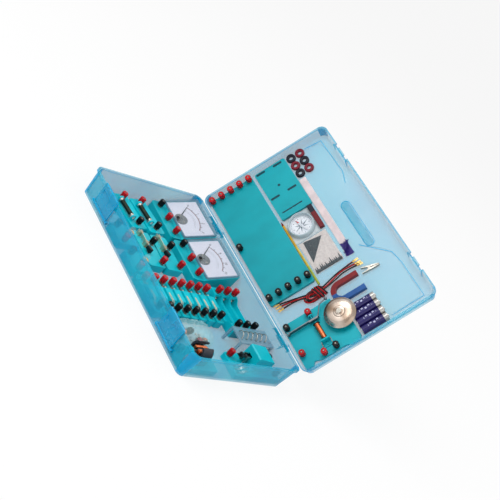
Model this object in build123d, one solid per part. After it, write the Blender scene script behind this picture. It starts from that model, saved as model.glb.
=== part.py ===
"""Electric circuit kit: a hinged plastic case with its meters, switches, bell, magnets and leads."""

from build123d import *
import math
import os

# Case: outline over the rims, heights, walls and the slope of the sides
CASE_LENGTH = 390.0
CASE_WIDTH = 250.0
TRAY_HEIGHT = 47.3
LID_HEIGHT = 22.4
WALL = 2.2
FLOOR = 2.2
CORNER_RADIUS = 12.0
RIM_LIP = 1.2
RIM_LIP_HEIGHT = 4.0
TRAY_INSET = 5.0
LID_INSET = 2.6
RIM_GAP = 0.4

# Lid hinge: two knuckle groups on steel pins behind the back wall
HINGE_BEHIND = 3.4
HINGE_BELOW = 4.8
HINGE_SPACING = 250.0
KNUCKLE_RADIUS = 2.8
LID_KNUCKLE_LENGTH = 19.0
LID_ARM_DROP = 12.0
TRAY_KNUCKLE_LENGTH = 14.0
KNUCKLE_SIDE_GAP = 0.4
PIN_RADIUS = 1.2
PIN_FIT = 0.05
LID_OPEN_ANGLE = 115.4
STOP_GAP = 0.3
STOP_REACH = 9.0

# Latches on the front wall
LATCH_WIDTH = 46.0
LATCH_X = 127.0
LATCH_THICKNESS = 2.4
LATCH_PIVOT_HEIGHT = 12.0
LATCH_RISE = 5.8
LATCH_LIP = 3.2
LATCH_LIP_THICKNESS = 2.0
LATCH_LEAD_IN = 1.6
LATCH_BARREL_RADIUS = 2.4
LATCH_LUG_LENGTH = 4.0
LATCH_GAP = 0.5
LATCH_GRIP = (36.0, 0.7, 16.0)
LATCH_GRIP_HEIGHT = 26.0
NOTCH_WIDTH = 38.0
NOTCH_DEPTH = 4.6
NOTCH_SIDE_GAP = 1.0
CATCH_WIDTH = 18.0
CATCH_GAP = 0.4

# Outlines moulded in the lid's floor, as points along and away from the hinge
RIB_HEIGHT = 0.8
RIB_WIDTH = 1.4
RIB_CAPSULE = (100.0, 17.0)
RIB_CAPSULE_V = 205.0
RIB_LEFT = ((-184, 200), (-181, 231), (-103, 233), (-82, 226))
RIB_RIGHT = ((37, 187), (80, 226), (106, 230), (177, 230), (178, 171))

# Binding posts: a hexagon nut under an eight-sided plastic cap
NUT_RADIUS = 3.4
NUT_HEIGHT = 3.0
KNOB_RADIUS = 5.5
KNOB_HEIGHT = 10.0
KNOB_CHAMFER = 1.2

# Meters
METER_WIDTH = 88.0
METER_DEPTH = 94.0
METER_PITCH = 92.0
METER_FRONT_Y = 22.0
METER_LEFT_X = -142.3
METER_CORNER = 6.0
METER_EDGE = 1.5
METER_DECK = 16.0
METER_DECK_DEPTH = 24.0
METER_STEP_RUN = 2.0
METER_STEP = 18.0
METER_BACK = 38.5
METER_WALL = 2.0
METER_POST_PITCH = 31.5
COVER_EDGE = 1.0
COVER_HEIGHT = 6.0
COVER_WALL = 1.6
COVER_CORNER = 4.0
DIAL_THICKNESS = 1.2
DIAL_MARGIN = 2.2
PIVOT_MARGIN = 7.0
PIVOT_RADIUS = 0.8
PIVOT_RISE = 2.6
HUB_RADIUS = 2.6
HUB_HEIGHT = 1.5
NEEDLE_LENGTH = 42.0
NEEDLE_TAIL = 7.0
NEEDLE_THICKNESS = 0.6
NEEDLE_LIFT = 0.5
NEEDLE_REST_ANGLE = 42.0
MOVEMENT_RADIUS = 12.0
MOVEMENT_SETBACK = 5.0
MOVEMENT_GAP = 0.3
MAGNET_BLOCK = (17.2, 17.2, 8.0)
WELL_GAP = 0.4

# Boards that carry the small instruments
BOARD_WALL = 1.8
BOARD_CORNER = 4.0
STRAP = 0.6
STRAP_WIDTH = 6.0
STRAP_END = 5.0
ROW_COUNT = 8
ROW_PITCH = 20.0
ROW_FIRST_Y = -107.4
ROW_X = 43.0
ROW_LENGTH = 76.0
ROW_WIDTH = 18.6
ROW_DECK = 13.0
ROW_HUMP_LENGTH = 34.0
ROW_HUMP_MARGIN = 2.0
ROW_HUMP_RISE = 7.0
ROW_POST_PITCH = 56.0
ROW_STRAP_INNER = 10.0
WIDE_LENGTH = 76.0
WIDE_WIDTH = 37.0
WIDE_DECK = 13.0

# Wire-wound resistor boards, turned a little as they lie in the tray
TUBE_BOARDS = ((-142.0, -10.0), (-143.5, -51.0))
TUBE_TURN = 7.0
TUBE_POST_PITCH = 56.0
TUBE_Y = -11.0
TUBE_LIFT = 5.5
TUBE_RADIUS = 3.8
TUBE_HALF = 19.2
CAP_RADIUS = 2.5
CAP_HALF = 22.5
PEG_X = 21.0
PEG = (3.0, 10.0, 10.0)
PEG_ROUND = 3.0

# Knife switches
SWITCHES = {"rear": (-58.0, -12.0), "front": (-59.5, -52.0)}
SWITCH_HINGE = (-29.0, -9.0)
SWITCH_JAW_X = -5.0
SWITCH_POSTS = (-13.0, 29.0)
SWITCH_POST_Y = 11.0
JAW_LENGTH = 8.0
JAW_HEIGHT = 9.0
JAW_SPREAD = 4.4
JAW_THICKNESS = 0.8
BLADE_THICKNESS = 1.6
BLADE_HEIGHT = 6.0
BLADE_BEHIND = 3.0
BLADE_PAST_JAW = 7.0
TANG_LENGTH = 5.0
TANG_HEIGHT = 3.0
RIVET_RADIUS = 1.0
GRIP_LENGTH = 12.0
GRIP_FRONT = (6.0, 6.6)
GRIP_BACK = (7.4, 9.0)
GRIP_EDGE = 0.9

# Lamp holders
LAMPS = ((-81.0, -96.0), (-22.5, -96.0))
LAMP_BOARD = (44.0, 41.0)
LAMP_POST_PITCH = 31.0
LAMP_POST_Y = -10.0
SOCKET_Y = 9.0
SOCKET_RADIUS = 6.2
SOCKET_BORE = 4.7
SOCKET_HEIGHT = 8.0
SOCKET_FLOOR = 2.0
BULB_RADIUS = 5.4
BULB_SCREW_RADIUS = 4.5
BULB_CENTRE = 12.4

# Battery boxes
BOX_LENGTH = 92.0
BOX_WIDTH = 18.8
BOX_HEIGHT = 17.0
BOX_DIP = 7.5
BOX_DIP_START = 33.0
BOX_DIP_RUN = 8.0
BOX_WALL = 1.6
BOX_COUNT = 3
BOX_PITCH = 20.0
BOX_FIRST_Y = 62.0
BOX_X = 51.0
BOX_POST_X = 36.0
CELL_BAY = 60.0
CELL_RADIUS = 7.1
CELL_LENGTH = 49.0
CONTACT_LEAF = (10.0, 11.4)
CONTACT_HEIGHT = 8.5
CONTACT_RISE = 1.6

# Relay
RELAY = (162.0, 58.0)
RELAY_BOARD = (46.0, 108.0)
SMALL_DECK = 10.0
RELAY_COVER_X = (-21.0, 11.0)
RELAY_COVER_Y = (-14.0, 26.0)
RELAY_COVER_TOP = (38.0, 34.5)
RELAY_COVER_WALL = 2.0
RELAY_SLOT = (10.0, 19.0, 26.0)
ARM_PIVOT = (-8.0, -20.0)
ARM_HEIGHT = 12.0
ARM_WIDTH = 7.2
ARM_REACH = (20.0, 14.0)
ARM_THICKNESS = 1.4
ARM_BARREL_RADIUS = 2.0
ARM_BUTTON = (3.4, 5.0)
EAR = (1.6, 8.0, 15.0)
RELAY_CORE_RADIUS = 1.8
RELAY_COIL_RADIUS = 4.6
RELAY_COIL_HEIGHT = 10.0
SPRING_STRIPS = ((4.0, 3.0), (11.0, 5.0), (18.0, 4.0))
RELAY_POSTS = (("red", -16.0, -47.0), ("black", -16.0, 44.0), ("black", 14.0, 44.0))

# Motor model
MOTOR = (161.0, -76.0)
MOTOR_BOARD = (46.0, 78.0)
ROTOR_HEIGHT = 26.0
ROTOR_BLOCK = (17.0, 24.0, 8.0)
SHAFT_HALF = 25.0
COMMUTATOR = (13.0, 18.0, 3.5)
UPRIGHT_Y = 22.0
UPRIGHT = (12.0, 3.0)
UPRIGHT_ABOVE = 4.0
POLE_RADII = (11.0, 15.0)
POLE_LENGTH = 22.0
POLE_FROM_X = 6.0
MOTOR_POSTS = (("black", -9.0, -32.0), ("red", 12.0, -32.0))

# Open coil on a clear plate
SOLENOID = (116.0, 75.0)
SOLENOID_PLATE = (34.0, 82.0, 2.4)
SOLENOID_TOP = 28.0
SOLENOID_LEG = 4.0
LOOP_RADIUS = 8.0
LOOP_PITCH = 11.5
LOOP_COUNT = 6
WIRE_RADIUS = 0.7
WIRE_HOLE_GAP = 1.2

# Bag of spares: height, length, width and corner of each layer
BAG_PLACE = (110.0, -50.0)
BAG_LIFT = 0.2
BAG_LAYERS = ((0, 34, 76, 8), (9, 42, 86, 12), (17, 36, 78, 12), (23, 22, 58, 9))

# Lid contents
RES_BOARD = (241.0, 86.0, 6.4)
RES_BOARD_CENTRE = (-67.3, 50.2)
RES_POST_COUNT = 5
RES_POST_PITCH = 18.6
RES_RED_X = -116.6
RES_BLACK_X = 108.0
RES_SPARE_X = -5.7
SLOT_PLATE = (109.5, 61.0, 6.0)
SLOT_PLATE_CENTRE = (-133.3, 129.2)
PLATE_SLOTS = ((-51.0, -19.0), (-50.0, 14.5), (7.5, 14.5), (7.5, -19.0))
PLATE_SLOT = (17.0, 2.4)
PLATE_GROOVE = (40.0, 2.0)
PLATE_GROOVE_AT = (42.0, -3.0)
PLATE_HOLE_AT = (-11.0, -2.2)
PLATE_HOLE_RADIUS = 2.2
RING_RADIUS = 8.6
RING_BORE = 3.6
RING_HEIGHT = 5.0
RING_CHAMFER = 0.9
RING_PITCH = 18.0
RING_FIRST = (-180.4, 169.8)
COMPASS_CENTRE = (-52.0, 122.8)
COMPASS_RADIUS = 24.0
COMPASS_HEIGHT = 10.0
COMPASS_BEZEL = 3.2
COMPASS_FLOOR = 1.6
COMPASS_PIN = (0.6, 6.5)
COMPASS_REST_ANGLE = 20.0
COMPASS_NEEDLE = (32.0, 4.4, 0.6)
COMPASS_NEEDLE_LIFT = 3.6
COMPASS_HUB = (2.4, 1.4)
BAR_MAGNET = (50.0, 9.0, 8.0)
BAR_MAGNET_CENTRE = (-52.0, 151.8)
FILINGS_BOX = (70.0, 56.0, 7.0)
FILINGS_CENTRE = (10.4, 127.2)
FILINGS_CORNER = 2.5
FILINGS_WALL = 1.2
STRIP = (178.0, 13.0, 1.6)
STRIP_CENTRE = (-44.5, 167.0)
STRIP_CORNER = 1.5
ROD_RADIUS = 2.1
ROD_ENDS = (-79.0, 62.0)
ROD_V = 95.6
ROD_POINT = 8.0
HORSESHOE_CENTRE = (96.5, 122.0)
HORSESHOE_ARM = 9.0
HORSESHOE_GAP = 20.0
HORSESHOE_STRAIGHT = 37.0
CELLS_FIRST = (134.4, 114.6)
CELL_COUNT = 4
CELL_PITCH = 14.5
CELL_EDGE = 0.6
CELL_BUTTON = (2.7, 1.3)
LYING_GAP = 0.05

# Electric bell
BELL_BOARD_HEIGHT = 5.0
BELL_BOARD_ROUND = 2.5
BELL_OUTLINE = ((95.5, 6.2), (184.5, 6.2), (184.5, 20), (178, 25), (182.5, 36), (182.5, 82), (186.5, 90),
                (186.5, 106), (181, 111), (124, 111), (118, 100), (95.5, 98))
BELL_POSTS = (("red", 176.0, 46.0), ("black", 176.0, 68.0), ("red", 100.5, 56.0), ("black", 104.5, 13.0),
              ("red", 158.0, 14.0))
GONG_CENTRE = (133.0, 100.0)
GONG_RADIUS = 27.0
GONG_CROWN = 7.0
GONG_RIM = 15.4
GONG_RISE = 8.0
GONG_WALL = 1.4
GONG_TURNS = ((0.34, 0.9), (0.62, 0.84), (0.8, 0.7), (0.93, 0.4), (1.0, 0.0))
GONG_BORE = 2.3
PILLAR_RADIUS = 4.0
SCREW_RADIUS = 2.2
SCREW_HEAD = (4.2, 1.5)
COIL_RADIUS = 4.6
COIL_V = 58.0
COIL_SPAN = (126.0, 158.0)
COIL_LIFT = 6.4
COIL_FLANGE = (6.2, 1.2)
CORE_RADIUS = 2.5
POLE_FACE = 123.2
YOKE_HALF = 8.0
YOKE_THICKNESS = 2.4
YOKE_HEIGHT = 13.0
YOKE_FOOT = (11.0, 1.6)
YOKE_SCREW = (6.5, 2.4, 3.0)
ARMATURE_U = 117.0
ARMATURE_PIVOT_V = 10.0
ARMATURE_END_V = 68.0
ARMATURE_H = (7.2, 15.4)
ARMATURE_THICKNESS = 1.4
ARMATURE_PAD = (1.7, 49.0, 66.0)
ARMATURE_BARREL = 2.6
PIVOT_PIN_TOP = 17.5
HAMMER_START = (66.0, 12.5)
HAMMER_ELBOW = (100.0, 79.0, 15.2)
HAMMER = (98.0, 92.0, 16.8)
HAMMER_WIRE = 0.9
HAMMER_RADIUS = 2.9
CONTACT_V = 56.0
CONTACT_BLOCK = (107.3, 109.3, 6.0, 14.5)
CONTACT_PIN = (1.0, 12.0)

# Leads: one shared line in the lid, with small waves, pitch, layer height and their ends
LEAD_RADIUS = 1.2
LEAD_COUNT = 6
LEAD_PITCH = 3.4
LEAD_LIFT = 0.35
LEAD_LAYER = 3.0
LEAD_RIPPLE = 0.15
LEAD_STAGGER = 1.5
LEAD_LINE = ((57, 22), (59, 42), (65, 62), (71, 80), (70, 100), (64, 119), (59, 139), (60, 162))
LEAD_WAVES = ((0, 0.6, -0.4, 0.5, 0, -0.5, 0.4, 0), (0, 0, 0.5, -0.3, 0.4, 0, -0.5, 0.3),
              (0.3, -0.5, 0, 0.4, -0.3, 0.5, 0, 0))
LUG_WALL = 0.25
LUG_BARREL = 5.0
LUG_WIDTH = 2.7
LUG_GAP = 1.1
LUG_THICKNESS = 0.6
LUG_NECK = 7.5
LUG_END = 11.0
CLIP_PLACE = (85.0, 178.0, 0.1)
CLIP_TURN = 80.0
CLIP_WIDTH = 5.5
CLIP_SIDE = ((0, 0.6), (20, 0.4), (20, 1.2), (8, 3.4), (-12, 5.6), (-12, 4.6), (-2, 2.4))
CLIP_PIVOT = (6.0, 6.4, 4.3)

tray_half_l = CASE_LENGTH / 2 - RIM_LIP
tray_half_w = CASE_WIDTH / 2 - RIM_LIP
hinge_y = CASE_WIDTH / 2 + HINGE_BEHIND
hinge_z = TRAY_HEIGHT - HINGE_BELOW
lid_inside = LID_HEIGHT - FLOOR
open_rad = math.radians(180 - LID_OPEN_ANGLE)
lid_up = Vector(0, math.cos(open_rad), math.sin(open_rad))
lid_out = Vector(0, -math.sin(open_rad), math.cos(open_rad))
hinge_h = lid_inside + HINGE_BELOW + RIM_GAP
lid_origin = Vector(0, hinge_y, hinge_z) + lid_up * HINGE_BEHIND - lid_out * hinge_h
LID = Plane(origin=lid_origin, x_dir=(1, 0, 0), z_dir=lid_out).location

nodes = {}


def add(name, *solids):
    """Collect the solids of one named piece."""
    nodes.setdefault(name, []).extend(solids)


def box(x0, x1, y0, y1, z0, z1):
    """A block between two corners."""
    return Pos((x0 + x1) / 2, (y0 + y1) / 2, (z0 + z1) / 2) * Box(abs(x1 - x0), abs(y1 - y0), abs(z1 - z0))


def rod(start, end, radius):
    """A round bar from one point to another."""
    a, b = Vector(*start), Vector(*end)
    return extrude(Plane(origin=a, z_dir=b - a) * Circle(radius), amount=(b - a).length)


def disc(x, y, z, radius, height):
    """An upright round piece standing on a height."""
    return Pos(x, y, z) * extrude(Circle(radius), amount=height)


def side_slab(outline, x0, width):
    """A slab with an outline in the side view, reaching from x0 along X."""
    return extrude(Plane.YZ.offset(x0) * make_face(Polyline(*outline, close=True)), amount=width)


def joined(pieces):
    """The union of some solids."""
    whole = pieces[0]
    for piece in pieces[1:]:
        whole += piece
    return whole


def tub(length, width, height, inset, corner, floor, wall):
    """An open tub whose sides lean out from the floor to the rim."""
    slope = -math.degrees(math.atan(inset / height))
    foot = RectangleRounded(length - 2 * inset, width - 2 * inset, corner - inset / 2)
    inner = RectangleRounded(
        length - 2 * inset - 2 * wall + 2 * inset * floor / height,
        width - 2 * inset - 2 * wall + 2 * inset * floor / height,
        corner - inset / 2 - wall,
    )
    shell = extrude(foot, amount=height, taper=slope)
    return shell - extrude(Pos(0, 0, floor) * inner, amount=height, taper=slope)


def rim_lip(top):
    """The band that stiffens an open rim."""
    outer = RectangleRounded(CASE_LENGTH, CASE_WIDTH, CORNER_RADIUS + RIM_LIP)
    inner = RectangleRounded(2 * tray_half_l - WALL, 2 * tray_half_w - WALL, CORNER_RADIUS - WALL / 2)
    return extrude(Pos(0, 0, top - RIM_LIP_HEIGHT) * (outer - inner), amount=RIM_LIP_HEIGHT)


def hollow_board(length, width, height, corner=BOARD_CORNER, wall=BOARD_WALL):
    """A moulded instrument board, open underneath."""
    outer = extrude(RectangleRounded(length, width, corner), amount=height)
    inner = RectangleRounded(length - 2 * wall, width - 2 * wall, corner - wall)
    return outer - extrude(inner, amount=height - wall)


def add_post(place, colour, x, y, deck, side="base"):
    """Add one binding post on a deck: its hexagon nut and its eight-sided plastic cap."""
    nut = extrude(RegularPolygon(NUT_RADIUS, 6), amount=NUT_HEIGHT)
    cap = extrude(RegularPolygon(KNOB_RADIUS, 8), amount=KNOB_HEIGHT)
    cap = chamfer(cap.edges().group_by(Axis.Z)[-1], KNOB_CHAMFER)
    add(f"{side}_studs", place * Pos(x, y, deck) * nut)
    add(f"{side}_{colour}_knobs", place * Pos(x, y, deck + NUT_HEIGHT) * cap)


def latch_wall_y(z):
    """Outer face of the sloping front wall at a height."""
    return -(tray_half_w - TRAY_INSET * (1 - z / TRAY_HEIGHT))


latch_pivot_y = latch_wall_y(LATCH_PIVOT_HEIGHT) - RIM_LIP - LATCH_GAP - LATCH_THICKNESS / 2


def hinge_rod(x, half_length, radius):
    """A round bar on the lid's hinge line."""
    return rod((x - half_length, hinge_y, hinge_z), (x + half_length, hinge_y, hinge_z), radius)


def latch_rod(x, half_length, radius):
    """A round bar on a latch's pivot line."""
    ends = [(x + side * half_length, latch_pivot_y, LATCH_PIVOT_HEIGHT) for side in (-1, 1)]
    return rod(*ends, radius)


def base_tray():
    """The tray with its rim, hinge knuckles, lid stops and latch lugs."""
    tray = tub(2 * tray_half_l, 2 * tray_half_w, TRAY_HEIGHT, TRAY_INSET, CORNER_RADIUS, FLOOR, WALL)
    tray += rim_lip(TRAY_HEIGHT)
    for side in (-1, 1):
        tray += hinge_knuckle_pair(side * HINGE_SPACING / 2)
        tray += lid_stop(side * HINGE_SPACING / 2)
        tray += latch_lugs(side * LATCH_X)
    for side in (-1, 1):
        hinge_reach = LID_KNUCKLE_LENGTH / 2 + TRAY_KNUCKLE_LENGTH + 1
        tray -= hinge_rod(side * HINGE_SPACING / 2, hinge_reach, PIN_RADIUS + PIN_FIT)
        latch_reach = LATCH_WIDTH / 2 + LATCH_LUG_LENGTH + 1
        tray -= latch_rod(side * LATCH_X, latch_reach, PIN_RADIUS + PIN_FIT)
    return tray


def hinge_knuckle_pair(x):
    """The two tray knuckles on either side of a lid knuckle, webbed to the back wall."""
    inner = LID_KNUCKLE_LENGTH / 2 + KNUCKLE_SIDE_GAP
    pieces = []
    for side in (-1, 1):
        near, far = x + side * inner, x + side * (inner + TRAY_KNUCKLE_LENGTH)
        pieces.append(rod((near, hinge_y, hinge_z), (far, hinge_y, hinge_z), KNUCKLE_RADIUS))
        pieces.append(box(near, far, tray_half_w - WALL / 2, hinge_y,
                          hinge_z - KNUCKLE_RADIUS, hinge_z + KNUCKLE_RADIUS * 0.6))
    return joined(pieces)


def lid_stop(x):
    """The bracket that the lid's hinge arm comes down on when the lid is open."""
    near = Vector(0, hinge_y, hinge_z) - lid_up * (KNUCKLE_RADIUS + STOP_GAP)
    far = near - lid_out * STOP_REACH
    wall = tray_half_w - WALL
    outline = ((wall, near.Z), (near.Y, near.Z), (far.Y, far.Z), (wall - 2, far.Z - STOP_REACH))
    return side_slab(outline, x - LID_KNUCKLE_LENGTH / 2, LID_KNUCKLE_LENGTH)


def latch_lugs(x):
    """The two lugs that hold a latch pin."""
    pieces = []
    for side in (-1, 1):
        near = x + side * (LATCH_WIDTH / 2 + KNUCKLE_SIDE_GAP)
        far = near + side * LATCH_LUG_LENGTH
        pieces.append(rod((near, latch_pivot_y, LATCH_PIVOT_HEIGHT), (far, latch_pivot_y, LATCH_PIVOT_HEIGHT),
                          LATCH_BARREL_RADIUS))
        pieces.append(box(near, far, latch_pivot_y, latch_wall_y(LATCH_PIVOT_HEIGHT) + WALL / 2,
                          LATCH_PIVOT_HEIGHT - LATCH_BARREL_RADIUS, LATCH_PIVOT_HEIGHT + LATCH_BARREL_RADIUS))
    return joined(pieces)


def latch(x):
    """A latch: a sloping plate on a barrel, with a lip that reaches over the lid's catch."""
    top = TRAY_HEIGHT + LATCH_RISE
    y0 = latch_pivot_y
    y1 = y0 - (top - LATCH_PIVOT_HEIGHT) * TRAY_INSET / TRAY_HEIGHT
    half = LATCH_THICKNESS / 2
    lip_low = top - LATCH_LIP_THICKNESS
    side_view = ((y0 + half, LATCH_PIVOT_HEIGHT), (y1 + half, lip_low), (y1 + half + LATCH_LIP, lip_low),
                 (y1 + half + LATCH_LIP, top - LATCH_LEAD_IN), (y1, top), (y1 - half, top - 1),
                 (y0 - half, LATCH_PIVOT_HEIGHT))
    plate = side_slab(side_view, x - LATCH_WIDTH / 2, LATCH_WIDTH)
    plate += latch_rod(x, LATCH_WIDTH / 2, LATCH_BARREL_RADIUS)
    grip_width, grip_depth, grip_height = LATCH_GRIP
    face_y = (y0 + y1) / 2 - half
    plate -= box(x - grip_width / 2, x + grip_width / 2, face_y - 2, face_y + grip_depth,
                 LATCH_GRIP_HEIGHT, LATCH_GRIP_HEIGHT + grip_height)
    lip_half = NOTCH_WIDTH / 2 - NOTCH_SIDE_GAP
    for side in (-1, 1):
        plate -= box(x + side * lip_half, x + side * LATCH_WIDTH, y1 + half, y1 + half + 2 * LATCH_LIP,
                     TRAY_HEIGHT, top + 1)
    return plate - latch_rod(x, LATCH_WIDTH, PIN_RADIUS + PIN_FIT)


def hinge_pins():
    """Two lid hinge pins and two latch pins."""
    for side in (-1, 1):
        long_pin = LID_KNUCKLE_LENGTH / 2 + KNUCKLE_SIDE_GAP + TRAY_KNUCKLE_LENGTH
        add("hinge_pins", hinge_rod(side * HINGE_SPACING / 2, long_pin, PIN_RADIUS))
        short_pin = LATCH_WIDTH / 2 + KNUCKLE_SIDE_GAP + LATCH_LUG_LENGTH
        add("hinge_pins", latch_rod(side * LATCH_X, short_pin, PIN_RADIUS))


def lid_shell():
    """The lid in its own frame: u along the hinge, v from the hinge edge, h above its inner floor."""
    centre = Pos(0, CASE_WIDTH / 2, -FLOOR)
    shell = tub(2 * tray_half_l, 2 * tray_half_w, LID_HEIGHT, LID_INSET, CORNER_RADIUS, FLOOR, WALL)
    shell = centre * (shell + rim_lip(LID_HEIGHT))
    for side in (-1, 1):
        shell = latch_notch(shell, side * LATCH_X)
        shell += lid_arm(side * HINGE_SPACING / 2)
    for side in (-1, 1):
        u = side * HINGE_SPACING / 2
        bore_reach = LID_KNUCKLE_LENGTH / 2 + 1
        shell -= rod((u - bore_reach, -HINGE_BEHIND, hinge_h), (u + bore_reach, -HINGE_BEHIND, hinge_h),
                     PIN_RADIUS + PIN_FIT)
    return joined([shell] + floor_ribs())


def latch_notch(shell, u):
    """Cut a latch's notch in the lid's front edge, close it with walls and add the catch."""
    inner = CASE_WIDTH - NOTCH_DEPTH
    outer = CASE_WIDTH - RIM_LIP - WALL / 2
    low = lid_inside - LATCH_RISE - 2
    half = NOTCH_WIDTH / 2
    shell -= box(u - half, u + half, inner, CASE_WIDTH + 1, low, lid_inside + 1)
    shell += box(u - half - WALL, u + half + WALL, inner - WALL, inner, -FLOOR / 2, lid_inside)
    for end in (-1, 1):
        shell += box(u + end * half, u + end * (half + WALL), inner - WALL, outer, low, lid_inside)
    shell += box(u - half - WALL, u + half + WALL, inner - WALL / 2, outer, low - WALL, low)
    catch_low = lid_inside + RIM_GAP - LATCH_RISE + LATCH_LIP_THICKNESS + CATCH_GAP
    return shell + box(u - CATCH_WIDTH / 2, u + CATCH_WIDTH / 2, inner - WALL / 2, CASE_WIDTH - CATCH_GAP,
                       catch_low, lid_inside)


def lid_arm(u):
    """The lid's knuckle and the arm that carries it outside the hinge edge."""
    half = LID_KNUCKLE_LENGTH / 2
    v, low = -HINGE_BEHIND, lid_inside - LID_ARM_DROP
    arm = box(u - half, u + half, v - KNUCKLE_RADIUS, v + KNUCKLE_RADIUS, low, hinge_h)
    root = box(u - half, u + half, v, RIM_LIP + WALL / 2, low, lid_inside)
    return arm + root + rod((u - half, v, hinge_h), (u + half, v, hinge_h), KNUCKLE_RADIUS)


def floor_ribs():
    """The raised outlines moulded in the lid's floor: a capsule and two corner panels."""
    length, width = RIB_CAPSULE
    capsule = SlotOverall(length, width) - SlotOverall(length - 2 * RIB_WIDTH, width - 2 * RIB_WIDTH)
    sunk = RIB_HEIGHT / 8
    ribs = [extrude(Pos(0, RIB_CAPSULE_V, -sunk) * capsule, amount=RIB_HEIGHT + sunk)]
    for points in (RIB_LEFT, RIB_RIGHT):
        outline = make_face(offset(Polyline(*points), RIB_WIDTH / 2).edges())
        ribs.append(extrude(Pos(0, 0, -sunk) * outline, amount=RIB_HEIGHT + sunk))
    return ribs


slant_run = METER_DEPTH - METER_DECK_DEPTH - METER_STEP_RUN - 1
slant = math.atan2(METER_BACK - METER_STEP, slant_run)
slant_length = slant_run / math.cos(slant)
dial_front = DIAL_MARGIN + COVER_WALL
pivot_y = dial_front + PIVOT_MARGIN
movement_y = pivot_y + MOVEMENT_SETBACK
SLANT = Plane(origin=(0, METER_DECK_DEPTH + METER_STEP_RUN, METER_STEP), x_dir=(1, 0, 0),
              z_dir=(0, -math.sin(slant), math.cos(slant))).location


def meter_case():
    """The wedge-shaped meter housing, open underneath, with a well for its movement."""
    back, wall, front = METER_DEPTH, METER_WALL, METER_DECK_DEPTH
    outer = ((0, 0), (0, METER_DECK - METER_EDGE), (METER_EDGE, METER_DECK), (front, METER_DECK),
             (front + METER_STEP_RUN, METER_STEP), (back - 1, METER_BACK), (back, METER_BACK - 2), (back, 0))
    inner = ((wall, -1), (wall, METER_DECK - wall), (front + 1, METER_DECK - wall),
             (front + 1 + METER_STEP_RUN, METER_STEP - wall), (back - wall, METER_BACK - wall - 1), (back - wall, -1))
    plan = RectangleRounded(METER_WIDTH, METER_DEPTH, METER_CORNER)
    plan_inside = RectangleRounded(METER_WIDTH - 2 * wall, METER_DEPTH - 2 * wall, METER_CORNER - wall)
    middle = Pos(0, METER_DEPTH / 2, 0)
    body = side_slab(outer, -METER_WIDTH / 2, METER_WIDTH) & middle * extrude(plan, amount=METER_BACK + 1)
    hollow = side_slab(inner, -METER_WIDTH / 2, METER_WIDTH)
    hollow &= middle * Pos(0, 0, -1) * extrude(plan_inside, amount=METER_BACK + 2)
    width, depth, drop = MAGNET_BLOCK
    half_w, half_d = width / 2 + WELL_GAP, depth / 2 + WELL_GAP
    well = SLANT * box(-half_w, half_w, movement_y - half_d, movement_y + half_d, -drop - 1, 1)
    return body - hollow - well


def meter_dial():
    """The scale plate, cut away at the front over the movement."""
    width = METER_WIDTH - 2 * dial_front
    plate = box(-width / 2, width / 2, dial_front, slant_length - dial_front, 0, DIAL_THICKNESS)
    radius = MOVEMENT_RADIUS + MOVEMENT_GAP
    window = disc(0, movement_y, -1, radius, DIAL_THICKNESS + 2)
    window += box(-radius, radius, dial_front - 1, movement_y, -1, DIAL_THICKNESS + 1)
    return SLANT * (plate - window)


def meter_cover():
    """The clear cover over the scale, open underneath."""
    width, length = METER_WIDTH - 2 * COVER_EDGE, slant_length - 2 * COVER_EDGE
    cover = hollow_board(width, length, COVER_HEIGHT, COVER_CORNER, COVER_WALL)
    rim = cover.faces().sort_by(Axis.Z)[-1].edges()
    return SLANT * Pos(0, slant_length / 2, 0) * chamfer(rim, COVER_WALL * 0.7)


def meter_movement():
    """The moving-coil unit: a bridge on the housing, its magnet block below, its pivot above."""
    bridge = disc(0, movement_y, 0, MOVEMENT_RADIUS, DIAL_THICKNESS)
    bridge += box(-MOVEMENT_RADIUS, MOVEMENT_RADIUS, dial_front, movement_y, 0, DIAL_THICKNESS)
    width, depth, drop = MAGNET_BLOCK
    magnet = box(-width / 2, width / 2, movement_y - depth / 2, movement_y + depth / 2, -drop, 0)
    return SLANT * (bridge + magnet + disc(0, pivot_y, DIAL_THICKNESS, PIVOT_RADIUS, PIVOT_RISE))


def meter_needle():
    """The pointer on its hub, resting at the left end of the scale."""
    root, tip, tail = HUB_RADIUS / 2, NEEDLE_THICKNESS / 2, HUB_RADIUS / 3
    outline = Polyline((-root, 0), (-tip, NEEDLE_LENGTH), (tip, NEEDLE_LENGTH), (root, 0),
                       (tail, -NEEDLE_TAIL), (-tail, -NEEDLE_TAIL), close=True)
    pointer = extrude(Circle(HUB_RADIUS), amount=HUB_HEIGHT)
    pointer += extrude(make_face(outline), amount=NEEDLE_THICKNESS)
    pointer -= disc(0, 0, -1, PIVOT_RADIUS + PIN_FIT, HUB_HEIGHT + 2)
    return SLANT * Pos(0, pivot_y, DIAL_THICKNESS + NEEDLE_LIFT) * Rot(0, 0, NEEDLE_REST_ANGLE) * pointer


def meters():
    """Two meters side by side with three posts each on their front decks."""
    for index, name in enumerate(("ammeter", "voltmeter")):
        place = Pos(METER_LEFT_X + index * METER_PITCH, METER_FRONT_Y, FLOOR)
        add("meter_cases", place * meter_case())
        add("meter_dials", place * meter_dial())
        add("meter_covers", place * meter_cover())
        add("meter_movements", place * meter_movement())
        add(f"{name}_needle", place * meter_needle())
        for k, colour in enumerate(("black", "red", "red")):
            add_post(place, colour, (k - 1) * METER_POST_PITCH, METER_DECK_DEPTH / 2, METER_DECK)


def s_curve(start, end, tangent):
    """Two equal arcs from one level to another; the tangent is the way the curve leaves its start."""
    mid = ((start[0] + end[0]) / 2, (start[1] + end[1]) / 2)
    run, rise = abs(mid[0] - start[0]), mid[1] - start[1]
    turn = 2 * math.atan2(rise, run)
    through = (tangent * math.cos(turn), math.sin(turn))
    return [TangentArc(start, mid, tangent=(tangent, 0)), TangentArc(mid, end, tangent=through)]


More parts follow.
